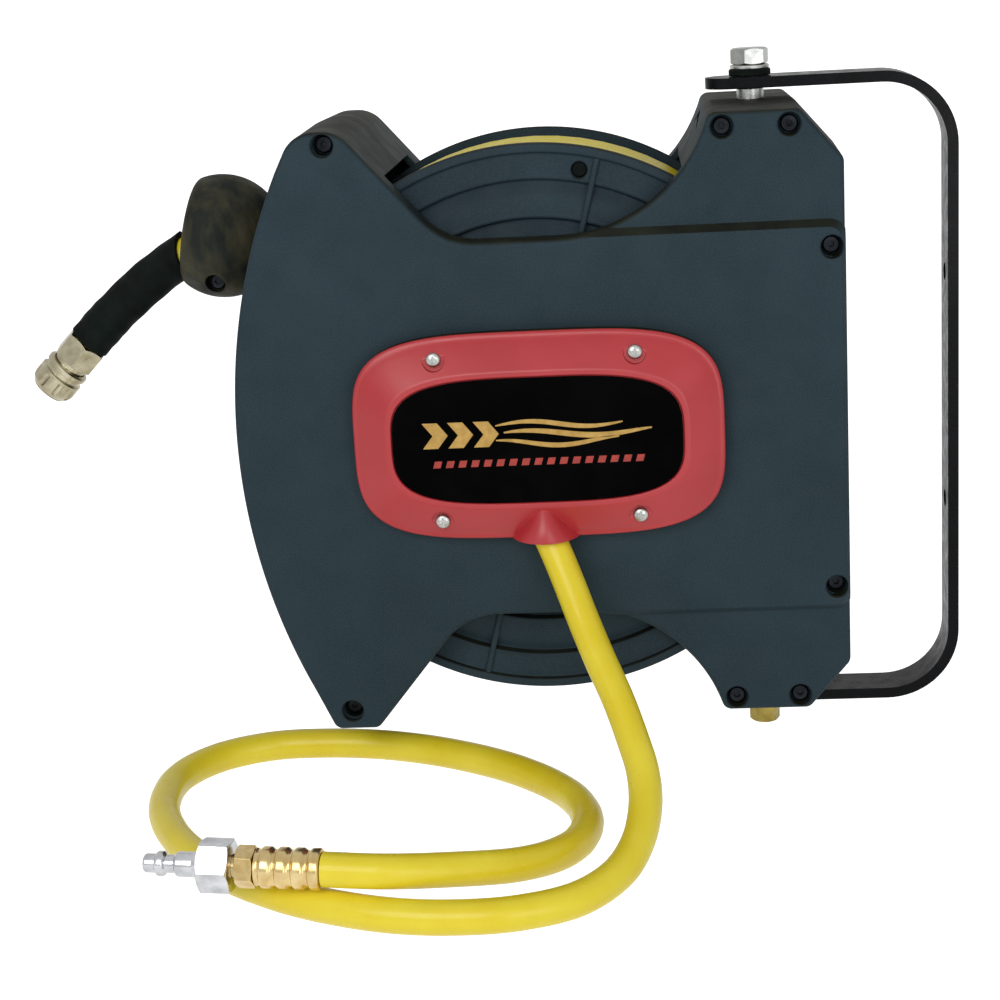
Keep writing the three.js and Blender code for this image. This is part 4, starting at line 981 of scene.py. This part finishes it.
stop = {
    "out": 25, "drop": 3.5, "radius": 32, "inner": 21.5, "outer": 17.5, "edge": 5, "tilt": 12, "seam": 0.8,
    "hoseWay": 8.7, "screws": [(-2, -21.5, -1), (2, 19, 1)],  # x, z and the way each faces
}
stopCentre = Vector((mouth[0] - stop["out"], midY, mouth[2] - stop["drop"]))
stopFacing = Vector((-math.cos(math.radians(stop["tilt"])), 0, math.sin(math.radians(stop["tilt"]))))


# Half a ball with both poles cut flat and their edges rounded, bored for the hose.
def makeStopHalf(side, name, stands):
    radius = stop["radius"]
    room = stop["edge"]
    profile = [(0, -stop["inner"])]
    for along, way in ((-stop["inner"], 1), (stop["outer"], -1)):
        centreAlong = along + way * room
        centreOut = math.sqrt((radius - room) ** 2 - centreAlong ** 2)
        reach = math.asin(abs(centreAlong) / (radius - room))
        turns = [math.pi / 2 - (math.pi / 2 - reach) * k / 8 for k in range(9)]
        corner = [(centreOut + room * math.cos(t), centreAlong - way * room * math.sin(t)) for t in turns]
        profile += corner if way > 0 else corner[::-1]
        if way > 0:
            low, high = -reach, math.asin((stop["outer"] - room) / (radius - room))
            for k in range(1, 30):
                angle = low + (high - low) * k / 30
                profile.append((radius * math.cos(angle), radius * math.sin(angle)))
    profile.append((0, stop["outer"]))
    ball = lathe(name, profile, stopCentre, stopFacing, 128)
    x, y, z = stopCentre
    y0, y1 = (y - 40, y - stop["seam"] / 2) if side < 0 else (y + stop["seam"] / 2, y + 40)
    combine(ball, [block("half", x - 40, x + 40, y0, y1, z - 40, z + 40)], "INTERSECT")
    cuts = [tube("hoseWay", outletLine, stop["hoseWay"], 32)]
    for dx, dz, way in stop["screws"]:
        start = (x + dx, y, z + dz)
        facing = Vector((0, way, 0))
        cuts.append(rod("hole", start, facing, -14.5, 40, 2.3, 24))
        if way == side:
            cuts.append(lathe("recess", [(0, 13), (5.2, 13), (5.2, 40), (0, 40)], start, facing, 40))
    combine(ball, cuts)
    soften(ball, 0.8, 3)
    return settle(ball, "rubber", stands, angle=40)


makeStopHalf(-1, "hose_stop_front_half", ["hose_stop_front"])
makeStopHalf(1, "hose_stop_rear_half", ["hose_stop_rear"])
for i, (dx, dz, way) in enumerate(stop["screws"]):
    start = stopCentre + Vector((dx, 0, dz))
    facing = Vector((0, way, 0))
    profile = [(0, -14), (2, -14), (2, 13.3), (4, 13.3), (4, 15.4), (3.4, 16), (0, 16)]
    head = lathe(f"stop_screw_head_{i + 1}", profile, start, facing, 40)
    combine(head, [rod("socket", start, facing, 14.4, 17, screw["socket"], 6)])
    # The stop's zinc screws are drawn near black as painted shade in their deep holes.
    settle(head, "zinc", [f"stop_screw_{i + 1}"], look="zinc in painted shade")


sleeve = {"outer": 11.2, "inner": 9.0, "from": 4, "lead": 2.6, "contact": 14, "lean": -25, "frontOpen": 0.3}


# Tube along the outlet hose, cut so that it leans on the stop above and gapes at the front.
def makeSleeve():
    line = smoothLine(outletPoints[sleeve["from"]:-1] + [outletEnd], 14)
    back = (line[0] - line[1]).normalized()
    line = [line[0] + back * sleeve["lead"]] + line
    made = tube("bend_sleeve_rubber", line, lambda share: sleeve["outer"] + 0.12 * math.sin(share * 40)
                + 0.1 * math.sin(share * 17 + 1), 48, sleeve["inner"])
    along = Vector((-stopFacing.z, 0, stopFacing.x))
    pivotPoint = stopCentre + stopFacing * (stop["outer"] + 0.3) + along * sleeve["contact"]
    turned = Quaternion(backward, math.radians(sleeve["lean"])) @ stopFacing
    openFront = (turned + Vector((0, sleeve["frontOpen"], 0))).normalized()
    combine(made, [rod("flat", pivotPoint, turned, -60, 0, 60, 64),
                   rod("slant", pivotPoint, openFront, -60, 0, 60, 64)])
    return settle(made, "rubber", ["bend_sleeve"], look="sleeve")


sleeveTube = makeSleeve()

coupler = {
    "hexFlats": 20.5, "hexLong": 14.5, "hexTwist": 20, "neck": 9, "end": 35.5, "mouth": 6.2, "airway": 2,
    "collar": 12, "stroke": 2.5, "slots": 8,
}


# Hexagon body with a barrel, and over the barrel the collar that slides back by its stroke.
def makeCoupler():
    hexLong, end, neck, outer = coupler["hexLong"], coupler["end"], coupler["neck"], coupler["collar"]
    body = hexagon("coupler_hexagon_body", outletEnd, outletHeading, 0.7, hexLong, coupler["hexFlats"], 1.0,
                   coupler["hexTwist"])
    combine(body, [rod("barrel", outletEnd, outletHeading, hexLong - 0.5, end, neck, 64)], "UNION")
    combine(body, [rod("socket", outletEnd, outletHeading, end - 14, end + 1, coupler["mouth"], 48),
                   rod("airway", outletEnd, outletHeading, -1, end, coupler["airway"], 24)])
    settle(body, "nickel", ["coupler_body"])
    low, high, bore = hexLong + coupler["stroke"] + 0.3, end - 0.4, neck + 0.5
    profile = [
        (bore, low), (outer - 1.6, low), (outer - 1.0, low + 0.2), (outer - 0.4, low + 0.8),
        (outer - 0.4, low + 3), (outer - 0.8, low + 3.3), (outer - 1.3, low + 3.4), (outer - 1.3, low + 5.8),
        (outer - 0.8, low + 6.0), (outer, low + 6.6), (outer, high - 5), (outer - 0.3, high - 3.4),
        (outer - 1.0, high - 1.8), (outer - 2.0, high - 0.7), (outer - 2.9, high), (bore, high),
    ]
    collar = lathe("coupler_collar_sleeve", profile, outletEnd, outletHeading, 96)
    side = Vector((0, 1, 0))
    across = outletHeading.cross(side)
    slots = []
    for k in range(coupler["slots"]):
        angle = 2 * math.pi * (k + 0.5) / coupler["slots"]
        away = side * math.cos(angle) + across * math.sin(angle)
        slotAt = outletEnd + away * (outer + 0.7)
        slots.append(rod("slot", slotAt, outletHeading, low + 8.2, high - 2.6, 2.0, 16))
    combine(collar, slots)
    settle(collar, "nickel", ["coupler_collar"], "coupler collar")
    return body, collar


couplerParts = makeCoupler()
print("outlet fitted")


ending = {
    "ferrule": 9.5, "ferruleLong": 30, "rings": 4, "barb": 5.2, "tailFlats": 17, "tailLong": 9,
    "tailTwist": 10, "plugFlats": 22, "plugLong": 15, "plugTwist": 31,
    "nipple": 5.8, "nippleLong": 26.5, "bore": 1.9,
}


# Hexagon and the nipple in front of it, with the groove that a coupler's balls grip.
def makePlug(start):
    shoulder = start + ending["plugLong"]
    tip = shoulder + ending["nippleLong"]
    r = ending["nipple"]
    plug = hexagon("inlet_plug_hexagon", plugAt, plugHeading, start, shoulder, ending["plugFlats"], 1.0,
                   ending["plugTwist"])
    steps = [(r + 2.2, -0.5), (r + 1.6, 1.0), (r + 0.4, 2.4), (r, 3.4), (r, 10.4), (r - 0.5, 11.2),
             (r - 1.6, 12), (r - 1.6, 16), (r - 0.4, 16.8), (r, 17.4), (r, 19.6), (r - 0.5, 20.4),
             (r - 1.4, 21)]
    profile = [(0, shoulder - 0.5), *[(out, shoulder + along) for out, along in steps],
               (r - 1.4, tip - 1.2), (r - 1.7, tip - 0.5), (r - 2.3, tip), (0, tip)]
    combine(plug, [lathe("nose", profile, plugAt, plugHeading, 72)], "UNION")
    combine(plug, [rod("bore", plugAt, plugHeading, start, start + 80, ending["bore"], 32),
                   rod("thread", plugAt, plugHeading, start - 1, start + 9, ending["barb"] + 0.3, 40)])
    return settle(plug, "steel", ["inlet_plug"])


# Crimped ferrule, hose tail and plug, one after the other along the hose's end.
def makeEnding():
    reach = 0.3
    pitch = ending["ferruleLong"] / ending["rings"]
    outer, barb = ending["ferrule"], ending["barb"]
    profile = [(barb, reach), (outer - 1.1, reach), (outer - 0.5, reach + 0.2)]
    for k in range(ending["rings"]):
        s = reach + k * pitch
        profile += [(outer - 0.15, s + 0.5), (outer, s + 1.0), (outer, s + pitch * 0.5),
                    (outer - 0.2, s + pitch * 0.6), (outer - 0.9, s + pitch * 0.7),
                    (outer - 1.2, s + pitch * 0.76), (outer - 1.2, s + pitch * 0.88),
                    (outer - 0.8, s + pitch * 0.96)]
    reach += ending["ferruleLong"]
    profile += [(outer - 0.9, reach), (barb, reach)]
    ferrule = lathe("inlet_ferrule_crimped", profile, plugAt, plugHeading, 72)
    settle(ferrule, "brass", ["inlet_ferrule"])
    tailEnd = reach + ending["tailLong"]
    tail = hexagon("inlet_tail_hexagon", plugAt, plugHeading, reach + 0.3, tailEnd, ending["tailFlats"], 0.8,
                   ending["tailTwist"])
    combine(tail, [rod("barb", plugAt, plugHeading, 0.3, reach + 1, barb - 0.3, 40),
                   rod("thread", plugAt, plugHeading, tailEnd - 0.5, tailEnd + 10, barb, 40)], "UNION")
    settle(tail, "brass", ["inlet_tail"])
    return ferrule, tail, makePlug(tailEnd + 2)


endPieces = makeEnding()
print("plug fitted")


bracket = {
    "tip": 88.5, "wallX": 213.4, "bar": 5.5, "wide": 25, "bend": 32, "armTop": 158, "armLow": -161,
    "hole": 5.5, "wallHole": 4.5, "wallZ": 60, "round": 0.9,
}


# Flat bar bent into a U, with round tips over and under the casing.
def makeBracket():
    bar, bend, tip, wallX = bracket["bar"], bracket["bend"], bracket["tip"], bracket["wallX"]
    armTop, armLow, half = bracket["armTop"], bracket["armLow"], bracket["wide"] / 2
    zTop, zLow = armTop + bar, armLow - bar
    around = rounded([
        (tip, zLow, 0), (wallX, zLow, bend + bar), (wallX, zTop, bend + bar), (tip, zTop, 0),
        (tip, armTop, 0), (wallX - bar, armTop, bend), (wallX - bar, armLow, bend), (tip, armLow, 0),
    ], 5)
    made = stack("bracket_bar", [(midY - half, around), (midY + half, around)])
    centre = tip + half
    plan = rod("tipRound", (centre, midY, 0), upward, zLow - 1, zTop + 1, half, 96)
    body = block("tipBody", centre, wallX + 1, midY - half - 1, midY + half + 1, zLow - 1, zTop + 1)
    combine(plan, [body], "UNION")
    combine(made, [plan], "INTERSECT")
    holes = [rod("pivotHole", (pivotX, midY, 0), upward, zLow - 1, zTop + 1, bracket["hole"], 40)]
    for z in (bracket["wallZ"], -bracket["wallZ"]):
        holes.append(rod("wallHole", (wallX, midY, z), roomward, -1, bar + 1, bracket["wallHole"], 40))
    combine(made, holes)
    soften(made, bracket["round"], 3)
    return settle(made, "bracket paint", ["bracket"], "bracket", angle=30)


makeBracket()

pivot = {
    "radius": 5, "bore": 5.3, "bush": 6.8, "seat": 21, "seal": 10.5, "washer": 9.8,
    "head": {1: (17, 8, 14), -1: (14, 14, 25)},  # flats, height and twist, above and below
}


# Bolt and bush through one bracket arm; above, a rubber and a steel washer lie under the head.
def makePivot(way):
    heading = upward if way > 0 else downward
    base = (pivotX, midY, 0)
    name = "upper" if way > 0 else "lower"
    face = bracket["armTop"] if way > 0 else -bracket["armLow"]
    bore, wide = pivot["bore"], pivot["bush"]
    bush = [(bore, topZ - 15.2), (wide, topZ - 15.2), (wide, face - 0.7), (wide - 0.4, face - 0.3),
            (bore, face - 0.3)]
    settle(lathe(f"{name}_bush_turned", bush, base, heading, 48), "zinc", [f"{name}_pivot_bush"])
    level = face + bracket["bar"] + 0.3
    if way > 0:
        wide = pivot["seal"]
        ring = [(bore, level), (wide - 0.4, level), (wide, level + 0.5), (wide, level + 2.7),
                (wide - 0.4, level + 3.2), (bore, level + 3.2)]
        seal = lathe("rubber_washer_disc", ring, base, heading, 64)
        settle(seal, "rubber", ["rubber_washer"], look="sleeve")
        level += 3.5
        wide = pivot["washer"]
        ring = [(bore, level), (wide - 0.2, level), (wide, level + 0.3), (wide, level + 1.5),
                (wide - 0.3, level + 1.8), (bore, level + 1.8)]
        settle(lathe("upper_washer_disc", ring, base, heading, 64), "zinc", ["upper_washer"])
        level += 2.1
    flats, high, twist = pivot["head"][way]
    bolt = hexagon(f"{name}_bolt_hexagon", base, heading, level, level + high, flats, 0.9, twist)
    shankEnd = topZ - pivot["seat"] - 14.3
    combine(bolt, [rod("shank", base, heading, shankEnd, level + 1, pivot["radius"], 40)], "UNION")
    settle(bolt, "zinc" if way > 0 else "yellow zinc", [f"{name}_pivot_bolt"])


makePivot(1)
makePivot(-1)
nut = hexagon("axle_nut_hexagon", (0, 0, 0), backward, 139.1, 145, 26, 1.0)
combine(nut, [rod("bore", (0, 0, 0), backward, 130, 150, 9.3, 48)])
settle(nut, "zinc", ["axle_nut"])
print("bracket hung")


studio = {
    "floorZ": -187.2,
    "floorGlow": 1.1,
    "backdrop": 1.2,
    "ambient": 0.33,
    "gloss": 0.7,
    "reach": 9000,
    "lights": [  # place, aim, width, height, watts
        ((-380, -1150, 560), (-20, 0, 0), 1000, 700, 6.8),
        ((620, -1150, 120), (60, 0, 0), 600, 800, 3),
    ],
}


# One value for what the eye sees directly, one for reflections and one for the light that falls on the reel.
def seenOr(tree, seen, other):
    path = addNode(tree, "LightPath")
    shine = addNode(tree, "MapRange", {"Value": path.outputs["Is Glossy Ray"], "To Min": other,
                                       "To Max": studio["gloss"]})
    direct = addNode(tree, "MapRange", {"Value": path.outputs["Is Camera Ray"],
                                        "To Min": shine.outputs["Result"], "To Max": seen})
    return direct.outputs["Result"]


# White paper sweep, lit so evenly that it reads as bare white.
def makeFloor():
    made = bpy.data.materials.new("whitePaperSweep")
    made.use_nodes = True
    shader = made.node_tree.nodes["Principled BSDF"]
    shader.inputs["Base Color"].default_value = linear("#c4c4c4")
    shader.inputs["Roughness"].default_value = 0.9
    shader.inputs["Specular IOR Level"].default_value = 0.1
    shader.inputs["Emission Color"].default_value = (1, 1, 1, 1)
    glow = seenOr(made.node_tree, studio["floorGlow"], studio["ambient"])
    made.node_tree.links.new(glow, shader.inputs["Emission Strength"])
    reach = studio["reach"]
    corners = ((-reach, -reach), (reach, -reach), (reach, reach), (-reach, reach))
    mesh = bpy.data.meshes.new("floor")
    mesh.from_pydata([spot(x, y, studio["floorZ"]) for x, y in corners], [], [(0, 1, 2, 3)])
    mesh.materials.append(made)
    floor = bpy.data.objects.new("floor", mesh)
    bpy.context.scene.collection.objects.link(floor)


# The backdrop is bright to look at, and gives the reel only a dim even light.
def makeWorld():
    world = bpy.data.worlds.new("studio")
    world.use_nodes = True
    tree = world.node_tree
    background = tree.nodes["Background"]
    background.inputs["Color"].default_value = (1, 1, 1, 1)
    tree.links.new(seenOr(tree, studio["backdrop"], studio["ambient"]), background.inputs["Strength"])
    bpy.context.scene.world = world
    bpy.context.scene.view_settings.view_transform = "Standard"


def hangLights():
    for i, (place, aim, width, height, watts) in enumerate(studio["lights"]):
        lamp = bpy.data.lights.new(f"softbox{i}", "AREA")
        lamp.shape = "RECTANGLE"
        lamp.size, lamp.size_y = width * 0.001, height * 0.001
        lamp.energy = watts
        holder = bpy.data.objects.new(f"softbox{i}", lamp)
        holder.location = spot(*place)
        holder.rotation_mode = "QUATERNION"
        holder.rotation_quaternion = (spot(*aim) - spot(*place)).to_track_quat("-Z", "Y")
        bpy.context.scene.collection.objects.link(holder)


makeFloor()
makeWorld()
hangLights()
print("studio lit")
